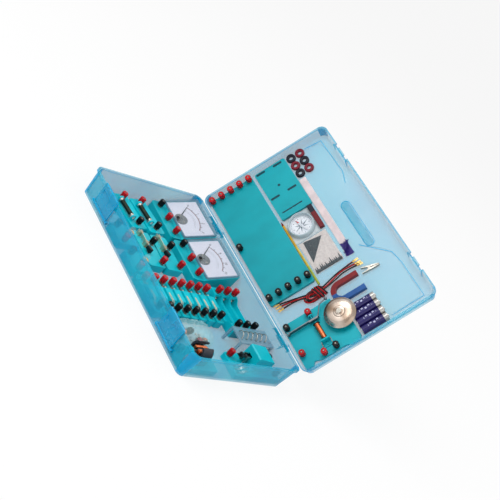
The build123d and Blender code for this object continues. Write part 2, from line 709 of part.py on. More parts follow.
def hump(length, width, rise):
    """A raised cover with S-shaped ends along a board."""
    half = length / 2
    edges = s_curve((-half, 0), (rise - half, rise), 1)
    edges.append(Line((rise - half, rise), (half - rise, rise)))
    edges += s_curve((half - rise, rise), (half, 0), 1)
    edges.append(Line((half, 0), (-half, 0)))
    return extrude(Plane.XZ.offset(-width / 2) * make_face(Curve() + edges), amount=width)


def strap(x0, x1, y, z):
    """A flat contact strip under a post."""
    return box(x0, x1, y - STRAP_WIDTH / 2, y + STRAP_WIDTH / 2, z, z + STRAP)


def resistor_row():
    """Eight narrow resistor boards side by side, each under a raised cover."""
    for index in range(ROW_COUNT):
        place = Pos(ROW_X, ROW_FIRST_Y + index * ROW_PITCH, FLOOR)
        board = hollow_board(ROW_LENGTH, ROW_WIDTH, ROW_DECK)
        board += Pos(0, 0, ROW_DECK) * hump(ROW_HUMP_LENGTH, ROW_WIDTH - 2 * ROW_HUMP_MARGIN, ROW_HUMP_RISE)
        add("resistor_boards", place * board)
        for side, colour in ((-1, "red"), (1, "black")):
            post_x = side * ROW_POST_PITCH / 2
            add_post(place, colour, post_x, 0, ROW_DECK + STRAP)
            add("contact_strips", place * strap(post_x - side * ROW_STRAP_INNER, post_x + side * STRAP_END,
                                                0, ROW_DECK))


def resistor_tube_boards():
    """Two wider boards with a wire-wound tube held between two moulded uprights."""
    axis_z = WIDE_DECK + TUBE_LIFT
    peg_x, peg_y, peg_z = PEG
    for x, y in TUBE_BOARDS:
        place = Pos(x, y, FLOOR) * Rot(0, 0, TUBE_TURN)
        board = hollow_board(WIDE_LENGTH, WIDE_WIDTH, WIDE_DECK)
        for side in (-1, 1):
            peg = box(side * PEG_X - peg_x / 2, side * PEG_X + peg_x / 2, TUBE_Y - peg_y / 2, TUBE_Y + peg_y / 2,
                      WIDE_DECK, WIDE_DECK + peg_z)
            board += fillet(peg.edges().filter_by(Axis.X).sort_by(Axis.Z)[-2:], PEG_ROUND)
        board -= rod((-CAP_HALF - 1, TUBE_Y, axis_z), (CAP_HALF + 1, TUBE_Y, axis_z), CAP_RADIUS + PIN_FIT)
        tube = rod((-TUBE_HALF, TUBE_Y, axis_z), (TUBE_HALF, TUBE_Y, axis_z), TUBE_RADIUS)
        tube += rod((-CAP_HALF, TUBE_Y, axis_z), (CAP_HALF, TUBE_Y, axis_z), CAP_RADIUS)
        add("instrument_boards", place * board)
        add("resistor_tubes", place * tube)
        for side, colour in ((-1, "red"), (1, "black")):
            add_post(place, colour, side * TUBE_POST_PITCH / 2, 0, WIDE_DECK)


def jaw(x, y, z):
    """A U-shaped spring clip for a knife blade."""
    out, inside = JAW_SPREAD / 2 + JAW_THICKNESS, JAW_SPREAD / 2
    clip = box(x - JAW_LENGTH / 2, x + JAW_LENGTH / 2, y - out, y + out, z, z + JAW_HEIGHT)
    return clip - box(x - JAW_LENGTH, x + JAW_LENGTH, y - inside, y + inside, z + JAW_THICKNESS, z + JAW_HEIGHT + 1)


def knife_switches():
    """Two knife switches: blade and handle pivot in one clip and close into the other."""
    hx, hy = SWITCH_HINGE
    z = WIDE_DECK + BLADE_HEIGHT
    rivet_half = JAW_SPREAD / 2 + 2 * JAW_THICKNESS
    for name, (x, y) in SWITCHES.items():
        place = Pos(x, y, FLOOR)
        add("instrument_boards", place * hollow_board(WIDE_LENGTH, WIDE_WIDTH, WIDE_DECK))
        hinge_clip = jaw(hx, hy, WIDE_DECK) + rod((hx, hy - rivet_half, z), (hx, hy + rivet_half, z), RIVET_RADIUS)
        add("switch_jaws", place * hinge_clip, place * jaw(SWITCH_JAW_X, hy, WIDE_DECK))
        blade_end = SWITCH_JAW_X + BLADE_PAST_JAW
        half = BLADE_THICKNESS / 2
        blade = box(hx - BLADE_BEHIND, blade_end, hy - half, hy + half, z - BLADE_HEIGHT / 2, z + BLADE_HEIGHT / 2)
        blade = fillet(blade.edges().filter_by(Axis.Y).sort_by(Axis.X)[:2], BLADE_BEHIND - 0.2)
        blade -= rod((hx, hy - rivet_half, z), (hx, hy + rivet_half, z), RIVET_RADIUS + PIN_FIT)
        tang = box(blade_end, blade_end + TANG_LENGTH, hy - half, hy + half, z - TANG_HEIGHT / 2, z + TANG_HEIGHT / 2)
        grip = loft([Plane.YZ.offset(blade_end) * Pos(hy, z) * Rectangle(*GRIP_FRONT),
                     Plane.YZ.offset(blade_end + GRIP_LENGTH) * Pos(hy, z) * Rectangle(*GRIP_BACK)])
        grip = chamfer(grip.edges(), GRIP_EDGE)
        add(f"switch_blade_{name}", place * (blade + tang))
        add(f"switch_handle_{name}", place * (grip - tang))
        for post_x, colour in zip(SWITCH_POSTS, ("black", "red")):
            add_post(place, colour, post_x, SWITCH_POST_Y, WIDE_DECK + STRAP)
            add("contact_strips", place * strap(post_x - STRAP_END, post_x + STRAP_END, SWITCH_POST_Y, WIDE_DECK))


def lamp_holders():
    """Two lamp holders with screw-base bulbs along the front wall."""
    for x, y in LAMPS:
        place = Pos(x, y, FLOOR)
        add("instrument_boards", place * hollow_board(*LAMP_BOARD, WIDE_DECK))
        at = place * Pos(0, SOCKET_Y, WIDE_DECK)
        socket = disc(0, 0, 0, SOCKET_RADIUS, SOCKET_HEIGHT) - disc(0, 0, SOCKET_FLOOR, SOCKET_BORE, SOCKET_HEIGHT)
        add("lamp_sockets", at * socket)
        screw = disc(0, 0, SOCKET_FLOOR, BULB_SCREW_RADIUS, SOCKET_HEIGHT - SOCKET_FLOOR + 1)
        add("lamp_bulbs", at * (screw + Pos(0, 0, BULB_CENTRE) * Sphere(BULB_RADIUS)))
        for k, colour in ((-1, "black"), (1, "red")):
            add_post(place, colour, k * LAMP_POST_PITCH / 2, LAMP_POST_Y, WIDE_DECK)


def battery_box():
    """A single-cell box whose rims swoop down in S-curves between the raised ends."""
    half, low = BOX_LENGTH / 2, BOX_HEIGHT - BOX_DIP
    high_x, low_x = BOX_DIP_START, BOX_DIP_START - 2 * BOX_DIP_RUN
    edges = [Polyline((-half, 0), (-half, BOX_HEIGHT), (-high_x, BOX_HEIGHT))]
    edges += s_curve((-high_x, BOX_HEIGHT), (-low_x, low), 1)
    edges.append(Line((-low_x, low), (low_x, low)))
    edges += s_curve((low_x, low), (high_x, BOX_HEIGHT), 1)
    edges.append(Polyline((high_x, BOX_HEIGHT), (half, BOX_HEIGHT), (half, 0), (-half, 0)))
    body = extrude(Plane.XZ.offset(-BOX_WIDTH / 2) * make_face(Curve() + edges), amount=BOX_WIDTH)
    side_y = BOX_WIDTH / 2 - BOX_WALL
    body -= box(-CELL_BAY / 2, CELL_BAY / 2, -side_y, side_y, BOX_WALL, BOX_HEIGHT + 1)
    for side in (-1, 1):
        body -= box(side * (CELL_BAY / 2 + BOX_WALL), side * (half - BOX_WALL), -side_y, side_y,
                    -1, BOX_HEIGHT - BOX_WALL)
    return body


def battery_boxes():
    """Three empty battery boxes at the back, with a contact leaf and button at each end of the bay."""
    leaf_width, leaf_top = CONTACT_LEAF
    for index in range(BOX_COUNT):
        place = Pos(BOX_X, BOX_FIRST_Y + index * BOX_PITCH, FLOOR)
        add(f"battery_box_{index + 1}", place * battery_box())
        for side, colour, button in ((-1, "red", 1.8), (1, "black", 3.2)):
            end = side * CELL_BAY / 2
            face = end - side * STRAP
            leaf = box(face, end, -leaf_width / 2, leaf_width / 2, BOX_WALL, BOX_WALL + leaf_top)
            leaf += rod((face, 0, CONTACT_HEIGHT), (face - side * CONTACT_RISE, 0, CONTACT_HEIGHT), button)
            add("contact_strips", place * leaf)
            add_post(place, colour, side * BOX_POST_X, 0, BOX_HEIGHT)


def relay_cover():
    """The relay's sloping cover, open underneath, with a slot in front for the armature lever."""
    front, back = RELAY_COVER_Y
    left, right = RELAY_COVER_X
    top_front, top_back = RELAY_COVER_TOP
    wall = RELAY_COVER_WALL
    outline = ((front, SMALL_DECK), (front, top_front - wall), (front + wall, top_front),
               (back - wall, top_back), (back, top_back - wall), (back, SMALL_DECK))
    hollow = ((front + wall, SMALL_DECK - 1), (front + wall, top_front - 1.5 * wall),
              (back - wall, top_back - 1.5 * wall), (back - wall, SMALL_DECK - 1))
    cover = side_slab(outline, left, right - left) - side_slab(hollow, left + wall, right - left - 2 * wall)
    width, low, high = RELAY_SLOT
    x = ARM_PIVOT[0]
    return cover - box(x - width / 2, x + width / 2, front - 1, front + wall + 1, low, high)


def relay_lever():
    """The armature lever on its barrel, with a push button at its outer end."""
    x, y = ARM_PIVOT
    z = SMALL_DECK + ARM_HEIGHT
    half = ARM_WIDTH / 2
    front, back = ARM_REACH
    lever = box(x - half, x + half, y - front, y + back, z - ARM_THICKNESS / 2, z + ARM_THICKNESS / 2)
    lever += rod((x - half, y, z), (x + half, y, z), ARM_BARREL_RADIUS)
    radius, height = ARM_BUTTON
    lever += disc(x, y - front + radius + 1, z, radius, height)
    return lever - rod((x - ARM_WIDTH, y, z), (x + ARM_WIDTH, y, z), RIVET_RADIUS + PIN_FIT)


def relay_ears():
    """The two ears and the pin that carry the armature lever."""
    x, y = ARM_PIVOT
    thick, depth, height = EAR
    pieces = []
    for side in (-1, 1):
        ear_x = x + side * (ARM_WIDTH / 2 + KNUCKLE_SIDE_GAP + thick / 2)
        pieces.append(box(ear_x - thick / 2, ear_x + thick / 2, y - depth / 2, y + depth / 2,
                          SMALL_DECK, SMALL_DECK + height))
    pin_half = ARM_WIDTH / 2 + KNUCKLE_SIDE_GAP + thick
    z = SMALL_DECK + ARM_HEIGHT
    pieces.append(rod((x - pin_half, y, z), (x + pin_half, y, z), RIVET_RADIUS))
    return joined(pieces)


def relay():
    """The relay: a covered coil, its hinged armature lever and bent spring strips on one board."""
    place = Pos(RELAY[0], RELAY[1], FLOOR)
    add("relay_board", place * hollow_board(*RELAY_BOARD, SMALL_DECK))
    add("relay_cover", place * relay_cover())
    add("relay_lever", place * relay_lever())
    add("contact_strips", place * relay_ears())
    coil_x, coil_y = ARM_PIVOT[0], ARM_PIVOT[1] + ARM_REACH[1]
    flange, flange_height = RELAY_COIL_RADIUS + 1, 1.2
    coil = disc(coil_x, coil_y, SMALL_DECK, RELAY_COIL_RADIUS, RELAY_COIL_HEIGHT)
    for z in (SMALL_DECK, SMALL_DECK + RELAY_COIL_HEIGHT - flange_height):
        coil += disc(coil_x, coil_y, z, flange, flange_height)
    coil -= disc(coil_x, coil_y, SMALL_DECK, RELAY_CORE_RADIUS + PIN_FIT, RELAY_COIL_HEIGHT + 1)
    add("relay_coil", place * coil)
    add("contact_strips", place * disc(coil_x, coil_y, SMALL_DECK, RELAY_CORE_RADIUS, RELAY_COIL_HEIGHT + STRAP))
    for x, bend in SPRING_STRIPS:
        path = [Line((-50, STRAP / 2), (-44, STRAP / 2)), TangentArc((-44, STRAP / 2), (-36, bend), tangent=(1, 0)),
                TangentArc((-36, bend), (-26, bend + 0.9), tangent=(1, 0.45))]
        ribbon = Plane.YZ.offset(-STRAP_WIDTH / 3) * trace(Curve() + path, STRAP)
        add("contact_strips", place * Pos(x, 0, SMALL_DECK + LYING_GAP) * extrude(ribbon, amount=STRAP_WIDTH * 2 / 3))
    for colour, x, y in RELAY_POSTS:
        add_post(place, colour, x, y, SMALL_DECK)


def motor():
    """The motor model: a wound rotor on a shaft between two uprights, inside a pair of magnets."""
    place = Pos(MOTOR[0], MOTOR[1], FLOOR)
    frame = hollow_board(*MOTOR_BOARD, SMALL_DECK)
    width, thick = UPRIGHT
    for side in (-1, 1):
        upright = box(-width / 2, width / 2, side * UPRIGHT_Y - thick / 2, side * UPRIGHT_Y + thick / 2,
                      SMALL_DECK, ROTOR_HEIGHT + UPRIGHT_ABOVE)
        frame += fillet(upright.edges().filter_by(Axis.Y).sort_by(Axis.Z)[-2:], width / 2 - 0.5)
    frame -= rod((0, -SHAFT_HALF - 2, ROTOR_HEIGHT), (0, SHAFT_HALF + 2, ROTOR_HEIGHT), PIN_RADIUS + PIN_FIT)
    add("motor_frame", place * frame)
    near, far, radius = COMMUTATOR
    rotor = rod((0, -SHAFT_HALF, ROTOR_HEIGHT), (0, SHAFT_HALF, ROTOR_HEIGHT), PIN_RADIUS)
    rotor += Pos(0, 0, ROTOR_HEIGHT) * fillet(Box(*ROTOR_BLOCK).edges(), 2)
    rotor += rod((0, near, ROTOR_HEIGHT), (0, far, ROTOR_HEIGHT), radius)
    add("motor_rotor", place * rotor)
    inner, outer = POLE_RADII
    half = POLE_LENGTH / 2
    for side in (-1, 1):
        arc = extrude(Circle(outer) - Circle(inner), amount=POLE_LENGTH)
        arc &= box(side * POLE_FROM_X, side * (outer + 1), -outer, outer, -1, POLE_LENGTH + 1)
        foot = box(side * inner, side * outer, -half, half, SMALL_DECK, ROTOR_HEIGHT - POLE_FROM_X)
        add("motor_magnets", place * (Pos(0, half, ROTOR_HEIGHT) * Rot(90, 0, 0) * arc + foot))
    for colour, x, y in MOTOR_POSTS:
        add_post(place, colour, x, y, SMALL_DECK)


def biarc(p0, t0, p1, t1):
    """Two tangent arcs between two points with given directions."""
    v, s = p1 - p0, t0 + t1
    k = 2 * (1 - t0.dot(t1))
    a = (-v.dot(s) + math.sqrt(v.dot(s) ** 2 + k * v.dot(v))) / k
    q0, q1 = p0 + t0 * a, p1 - t1 * a
    mid = (q0 + q1) * 0.5
    return [TangentArc(p0, mid, tangent=t0), TangentArc(mid, p1, tangent=(q1 - q0).normalized())]


def coil_at(quarter):
    """The point and direction of the open coil after a number of quarter turns."""
    turn = quarter * math.pi / 2
    y = (quarter / 4 - LOOP_COUNT / 2) * LOOP_PITCH
    point = Vector(LOOP_RADIUS * math.cos(turn), y, LOOP_RADIUS * math.sin(turn))
    way = Vector(-LOOP_RADIUS * math.sin(turn), LOOP_PITCH / (2 * math.pi), LOOP_RADIUS * math.cos(turn))
    return point, way.normalized()


def solenoid_wire():
    """The open copper coil as one unbroken tube on biarcs of a quarter turn."""
    quarters = 4 * LOOP_COUNT
    first, way = coil_at(0)
    last, end_way = coil_at(quarters)
    edges = [Line(first - way * 2 * WIRE_RADIUS, first)]
    for quarter in range(quarters):
        edges += biarc(*coil_at(quarter), *coil_at(quarter + 1))
    edges.append(Line(last, last + end_way * 2 * WIRE_RADIUS))
    path = Wire(edges)
    section = Plane(origin=path @ 0, z_dir=path % 0) * RegularPolygon(WIRE_RADIUS, 6)
    tube = sweep(section, path=path)
    eighths = [coil_at(step / 8)[0] for step in range(8 * quarters)]
    gap = min((a - b).length for i, a in enumerate(eighths) for b in eighths[i + 16::3]) - 2 * WIRE_RADIUS
    print("solenoid wire: length", round(path.length, 1), "volume share",
          round(tube.volume / (section.area * path.length), 4), "least gap to itself", round(gap, 2))
    return tube


def solenoid():
    """The open coil threaded through a clear plate on four legs."""
    place = Pos(SOLENOID[0], SOLENOID[1], FLOOR)
    length, depth, thick = SOLENOID_PLATE
    level = SOLENOID_TOP - thick / 2
    plate = box(-length / 2, length / 2, -depth / 2, depth / 2, SOLENOID_TOP - thick, SOLENOID_TOP)
    half_leg = SOLENOID_LEG / 2
    for sx in (-1, 1):
        for sy in (-1, 1):
            x, y = sx * (length / 2 - half_leg), sy * (depth / 2 - half_leg)
            plate += box(x - half_leg, x + half_leg, y - half_leg, y + half_leg, 0, level)
    for half_turn in range(2 * LOOP_COUNT + 1):
        point = coil_at(2 * half_turn)[0]
        plate -= disc(point.X, point.Y, level - thick, WIRE_RADIUS + WIRE_HOLE_GAP, 2 * thick)
    add("solenoid_plate", place * plate)
    add("solenoid_coil", place * Pos(0, 0, level) * solenoid_wire())


def parts_bag():
    """The soft bag of small spares lying between the row and the motor."""
    layers = [Plane.XY.offset(h) * RectangleRounded(a, b, r) for h, a, b, r in BAG_LAYERS]
    add("parts_bag", Pos(*BAG_PLACE, FLOOR + BAG_LIFT) * loft(layers, ruled=True))


def on_lid(u, v, h=0.0):
    """A place in the open lid: u along the hinge, v from the hinge edge, h above the lid's floor."""
    return LID * Pos(u, v, h)


def resistance_board():
    """The long board with a red and a black column of posts for comparing wires, and one spare post."""
    length, width, height = RES_BOARD
    place = on_lid(*RES_BOARD_CENTRE)
    add("resistance_board", place * hollow_board(length, width, height))
    for index in range(RES_POST_COUNT):
        y = (index - (RES_POST_COUNT - 1) / 2) * RES_POST_PITCH
        add_post(place, "red", RES_RED_X, y, height, "lid")
        add_post(place, "black", RES_BLACK_X, y, height, "lid")
    add_post(place, "black", RES_SPARE_X, -2 * RES_POST_PITCH, height, "lid")


def slotted_plate():
    """The plate with four short slots, a long groove and a centre hole."""
    plate = hollow_board(*SLOT_PLATE)
    upright = Rot(0, 0, 90)
    for x, y in PLATE_SLOTS:
        plate -= Pos(x, y, 0) * upright * extrude(SlotOverall(*PLATE_SLOT), amount=SLOT_PLATE[2] + 1)
    plate -= Pos(*PLATE_GROOVE_AT, 0) * upright * extrude(SlotOverall(*PLATE_GROOVE), amount=SLOT_PLATE[2] + 1)
    plate -= disc(*PLATE_HOLE_AT, 0, PLATE_HOLE_RADIUS, SLOT_PLATE[2] + 1)
    add("slotted_plate", on_lid(*SLOT_PLATE_CENTRE) * plate)


def spare_rings():
    """Six ring washers in two rows."""
    for column in range(3):
        for row in range(2):
            u, v = RING_FIRST[0] + column * RING_PITCH, RING_FIRST[1] + row * RING_PITCH
            ring = extrude(Circle(RING_RADIUS) - Circle(RING_BORE), amount=RING_HEIGHT)
            add("spare_rings", on_lid(u, v) * chamfer(ring.edges().group_by(Axis.Z)[-1], RING_CHAMFER))


def compass():
    """The compass: a turned case with a raised bezel and centre pin, and its needle."""
    case = extrude(Circle(COMPASS_RADIUS), amount=COMPASS_HEIGHT)
    case = chamfer(case.edges().group_by(Axis.Z)[-1], COMPASS_BEZEL / 2)
    case -= disc(0, 0, COMPASS_FLOOR, COMPASS_RADIUS - COMPASS_BEZEL, COMPASS_HEIGHT)
    pin_radius, pin_top = COMPASS_PIN
    add("compass_case", on_lid(*COMPASS_CENTRE) * (case + disc(0, 0, 0, pin_radius, pin_top)))
    length, width, thick = COMPASS_NEEDLE
    hub_radius, hub_height = COMPASS_HUB
    half, wide = length / 2, width / 2
    outline = Polyline((-half, 0), (-2, wide), (2, wide), (half, 0), (2, -wide), (-2, -wide), close=True)
    needle = extrude(make_face(outline), amount=thick) + extrude(Circle(hub_radius), amount=hub_height)
    needle -= disc(0, 0, -1, pin_radius + PIN_FIT, hub_height + 2)
    add("compass_needle", on_lid(*COMPASS_CENTRE, COMPASS_NEEDLE_LIFT) * Rot(0, 0, COMPASS_REST_ANGLE) * needle)


def magnets():
    """The bar magnet and the horseshoe magnet."""
    bar = Box(*BAR_MAGNET)
    bar = Pos(0, 0, BAR_MAGNET[2] / 2) * chamfer(bar.edges().filter_by(Axis.Z), 0.8)
    add("bar_magnet", on_lid(*BAR_MAGNET_CENTRE) * bar)
    inner, outer = HORSESHOE_GAP / 2, HORSESHOE_GAP / 2 + HORSESHOE_ARM
    bow = (Circle(outer) - Circle(inner)) & Pos(0, -outer) * Rectangle(2 * outer, 2 * outer)
    for side in (-1, 1):
        bow += Pos(side * (inner + outer) / 2, HORSESHOE_STRAIGHT / 2) * Rectangle(HORSESHOE_ARM, HORSESHOE_STRAIGHT)
    add("horseshoe_magnet", on_lid(*HORSESHOE_CENTRE) * extrude(bow, amount=HORSESHOE_ARM))


def flat_items():
    """The filings box, the printed strip and the marker rod."""
    add("filings_box", on_lid(*FILINGS_CENTRE) * hollow_board(*FILINGS_BOX, FILINGS_CORNER, FILINGS_WALL))
    strip_length, strip_width, thick = STRIP
    sheet = extrude(RectangleRounded(strip_length, strip_width, STRIP_CORNER), amount=thick)
    add("sample_strip", on_lid(*STRIP_CENTRE) * sheet)
    start, finish = ROD_ENDS
    h = ROD_RADIUS + LYING_GAP
    shank = rod((start + ROD_POINT, ROD_V, h), (finish, ROD_V, h), ROD_RADIUS)
    point = Plane(origin=(start + ROD_POINT / 2, ROD_V, h), x_dir=(0, 1, 0), z_dir=(-1, 0, 0)).location
    add("marker_rod", LID * (shank + point * Cone(ROD_RADIUS, 0.4, ROD_POINT)))


def battery_cells():
    """Four cells side by side, with their buttons towards the lid's free edge."""
    u0, v0 = CELLS_FIRST
    h = CELL_RADIUS + LYING_GAP
    button_radius, button_height = CELL_BUTTON
    for index in range(CELL_COUNT):
        u, top = u0 + index * CELL_PITCH, v0 + CELL_LENGTH
        cell = rod((u, v0, h), (u, top, h), CELL_RADIUS)
        cell = chamfer(cell.edges().filter_by(GeomType.CIRCLE), CELL_EDGE)
        add("battery_cells", LID * (cell + rod((u, top - 1, h), (u, top + button_height, h), button_radius)))


def bell_board():
    """The bell's board: stepped along its lower edge, open underneath."""
    face = fillet(make_face(Polyline(*BELL_OUTLINE, close=True)).vertices(), BELL_BOARD_ROUND)
    board = extrude(face, amount=BELL_BOARD_HEIGHT)
    board -= extrude(offset(face, -BOARD_WALL), amount=BELL_BOARD_HEIGHT - BOARD_WALL)
    add("bell_board", LID * board)
    for colour, u, v in BELL_POSTS:
        add_post(on_lid(u, v), colour, 0, 0, BELL_BOARD_HEIGHT, "lid")


def gong():
    """The domed gong on its pillar and screw."""
    top = GONG_RIM + GONG_RISE
    under = top - GONG_WALL
    outside = [(0, top), (GONG_CROWN, top)]
    outside += [(GONG_RADIUS * share, GONG_RIM + GONG_RISE * height) for share, height in GONG_TURNS]
    inside = [(max(x - GONG_WALL, 0), z - GONG_WALL) for x, z in outside[:-1]]
    inside.append((GONG_RADIUS - GONG_WALL, GONG_RIM))
    profile = Polyline(*outside, *reversed(inside[1:]), (0, under), close=True)
    dome = revolve(Plane.XZ * make_face(profile), axis=Axis.Z)
    add("bell_gong", on_lid(*GONG_CENTRE) * (dome - disc(0, 0, 0, GONG_BORE, top + 1)))
    head_radius, head_height = SCREW_HEAD
    pillar = disc(0, 0, BELL_BOARD_HEIGHT, PILLAR_RADIUS, under - BELL_BOARD_HEIGHT)
    screw = disc(0, 0, under, SCREW_RADIUS, GONG_WALL) + disc(0, 0, top, head_radius, head_height)
    add("bell_frame", on_lid(*GONG_CENTRE) * (pillar + screw))


def bell_magnet():
    """The bell's electromagnet: wound bobbin, core and bent yoke."""
    deck, h = BELL_BOARD_HEIGHT, BELL_BOARD_HEIGHT + COIL_LIFT
    start, finish = COIL_SPAN
    foot_length, foot_thick = YOKE_FOOT
    screw_u, screw_radius, screw_height = YOKE_SCREW
    v0, v1 = COIL_V - YOKE_HALF, COIL_V + YOKE_HALF
    yoke = rod((POLE_FACE, COIL_V, h), (finish + 1, COIL_V, h), CORE_RADIUS)
    yoke += box(finish, finish + YOKE_THICKNESS, v0, v1, deck, deck + YOKE_HEIGHT)
    yoke += box(finish, finish + foot_length, v0, v1, deck, deck + foot_thick)
    yoke += disc(finish + screw_u, COIL_V, deck, screw_radius, screw_height)
    add("bell_frame", LID * yoke)
    flange_radius, flange = COIL_FLANGE
    coil = rod((start, COIL_V, h), (finish - 0.1, COIL_V, h), COIL_RADIUS)
    for u in (start, finish - 0.1 - flange):
        coil += rod((u, COIL_V, h), (u + flange, COIL_V, h), flange_radius)
    coil -= rod((start - 1, COIL_V, h), (finish + 1, COIL_V, h), CORE_RADIUS + PIN_FIT)
    add("bell_coil", LID * coil)


def bell_armature():
    """The sprung armature with its iron pad, hammer wire and hammer, on a pin with a collar."""
    low, high = ARMATURE_H
    half = ARMATURE_THICKNESS / 2
    u, v = ARMATURE_U, ARMATURE_PIVOT_V
    pad, pad_start, pad_end = ARMATURE_PAD
    arm = box(u - half, u + half, v, ARMATURE_END_V, low, high)
    arm += box(u + half, u + half + pad, pad_start, pad_end, low, high)
    arm += disc(u, v, low, ARMATURE_BARREL, high - low)
    arm -= disc(u, v, 0, PIN_RADIUS + PIN_FIT, high + 1)
    arm += rod((u, *HAMMER_START), HAMMER_ELBOW, HAMMER_WIRE) + rod(HAMMER_ELBOW, HAMMER, HAMMER_WIRE)
    arm += Pos(*HAMMER_ELBOW) * Sphere(HAMMER_WIRE) + Pos(*HAMMER) * Sphere(HAMMER_RADIUS)
    add("bell_armature", LID * arm)
    deck = BELL_BOARD_HEIGHT
    pin = disc(u, v, deck, PIN_RADIUS, PIVOT_PIN_TOP - deck)
    add("bell_frame", LID * (pin + disc(u, v, deck, ARMATURE_BARREL, low - deck - 0.2)))
    near, far, width, top = CONTACT_BLOCK
    pin_radius, pin_h = CONTACT_PIN
    contact = rod((near + 1, CONTACT_V, pin_h), (u - half - STOP_GAP, CONTACT_V, pin_h), pin_radius)
    contact += box(near, far, CONTACT_V - width / 2, CONTACT_V + width / 2, deck, top)
    add("bell_frame", LID * contact)


def lead_route(index):
    """The hand-chosen points of one lead in the lid, three in the lower layer and three above them."""
    column, layer = index % 3, index // 3
    points = []
    for k, ((u, v), wave) in enumerate(zip(LEAD_LINE, LEAD_WAVES[column])):
        h = LEAD_RADIUS + LEAD_LIFT + layer * LEAD_LAYER + LEAD_RIPPLE * (k % 2)
        points.append((u + column * LEAD_PITCH + layer * LEAD_PITCH / 2 + wave, v + column * LEAD_STAGGER, h))
    return points


def corner_radii(points):
    """For each corner, 0.45 of the shorter run over the tangent of half the turn."""
    radii = []
    for a, b, c in zip(points, points[1:], points[2:]):
        into, out = Vector(*b) - Vector(*a), Vector(*c) - Vector(*b)
        turn = math.radians(into.get_angle(out))
        radii.append(0.45 * min(into.length, out.length) / math.tan(turn / 2))
    return radii


def leads():
    """Three red and three black leads in a bundle, with a fork lug at each end, and a spring clip."""
    for index in range(LEAD_COUNT):
        points = lead_route(index)
        radii = corner_radii(points)
        path = FilletPolyline(*points, radius=radii)
        section = Plane(origin=path @ 0, z_dir=path % 0) * RegularPolygon(LEAD_RADIUS, 6)
        tube = sweep(section, path=path)
        print("lead", index, "length", round(path.length, 1), "volume share",
              round(tube.volume / (section.area * path.length), 3), "radii", [round(r) for r in radii])
        add("red_leads" if index % 2 == 0 else "black_leads", LID * tube)
        for end, way in ((path @ 0, -(path % 0)), (path @ 1, path % 1)):
            add("lead_ends", LID * lug(end, way))
    add("lead_ends", on_lid(*CLIP_PLACE) * Rot(0, 0, CLIP_TURN) * spring_clip())


def lug(end, way):
    """A fork lug crimped on a lead's end."""
    frame = Plane(origin=end, x_dir=way.cross(Vector(0, 0, 1)).normalized(), z_dir=way).location
    half, thick = LUG_WIDTH / 2, LUG_THICKNESS / 2
    fork = extrude(Circle(LEAD_RADIUS + LUG_WALL), amount=LUG_BARREL)
    fork += box(-half, half, -thick, thick, LUG_BARREL - 0.1, LUG_END)
    fork -= box(-LUG_GAP / 2, LUG_GAP / 2, -1, 1, LUG_NECK, LUG_END + 1)
    return frame * fork


def spring_clip():
    """An alligator clip lying on its side: two jaws on a pivot with spread finger ends."""
    half = extrude(make_face(Polyline(*CLIP_SIDE, close=True)), amount=CLIP_WIDTH)
    length, width, height = CLIP_PIVOT
    pivot = box(-1, length - 1, -width / 2, width / 2, LUG_THICKNESS, LUG_THICKNESS + height)
    return half + mirror(half, about=Plane.XZ) + pivot


add("base_tray", base_tray())
add("latch_left", latch(-LATCH_X))
add("latch_right", latch(LATCH_X))
hinge_pins()
meters()
resistor_row()
resistor_tube_boards()
knife_switches()
lamp_holders()
battery_boxes()
relay()
motor()
solenoid()
parts_bag()
add("lid_shell", LID * lid_shell())
resistance_board()
slotted_plate()
spare_rings()
compass()
magnets()
flat_items()
battery_cells()
bell_board()
gong()
bell_magnet()
bell_armature()
leads()

os.makedirs("parts", exist_ok=True)
for name, solids in nodes.items():
    export_step(Compound(children=solids) if len(solids) > 1 else solids[0], f"parts/{name}.step")
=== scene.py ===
"""Looks of the electric circuit kit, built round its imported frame."""

import logging
import math
from dataclasses import dataclass
from enum import Enum
from functools import cache, cached_property
from typing import Any, Callable, Sequence

import bmesh
import bpy
from mathutils import Matrix, Vector, noise


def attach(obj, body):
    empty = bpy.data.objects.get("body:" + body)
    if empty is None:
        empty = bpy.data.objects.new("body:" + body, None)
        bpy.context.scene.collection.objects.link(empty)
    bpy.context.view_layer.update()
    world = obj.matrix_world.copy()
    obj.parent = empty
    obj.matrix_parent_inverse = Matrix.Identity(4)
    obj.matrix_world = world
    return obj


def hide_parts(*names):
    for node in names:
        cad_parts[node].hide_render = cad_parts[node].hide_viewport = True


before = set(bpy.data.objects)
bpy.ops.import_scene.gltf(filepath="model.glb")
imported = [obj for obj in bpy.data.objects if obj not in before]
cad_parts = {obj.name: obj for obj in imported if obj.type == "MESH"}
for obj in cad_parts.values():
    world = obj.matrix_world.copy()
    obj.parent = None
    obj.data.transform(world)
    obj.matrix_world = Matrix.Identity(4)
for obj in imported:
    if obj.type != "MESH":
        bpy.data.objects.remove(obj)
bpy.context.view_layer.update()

LOG = logging.getLogger("circuit_kit")
MM = 0.001
LID_ORIGIN = Vector((0.0, 0.152803, 0.034676))
LID_TURN = math.radians(64.6)
TRAY_FLOOR = 2.2
DECK = TRAY_FLOOR + 13.0
MERGE = 0.0005
UP = Vector((0.0, 0.0, 1.0))
HERE = Matrix.Identity(4)
WHITE = (1.0, 1.0, 1.0, 1.0)
BOTH_SIDES = (-1, 1)
Triple = tuple[float, float, float]
Pair = tuple[float, float]
Colour = tuple[float, float, float, float]


def tray_place(x: float, y: float, z: float = 0.0, turn: float = 0.0) -> Matrix:
    """A place in the tray, in millimetres, turned about the upright by some degrees."""
    return Matrix.Translation(Vector((x, y, z)) * MM) @ Matrix.Rotation(math.radians(turn), 4, "Z")


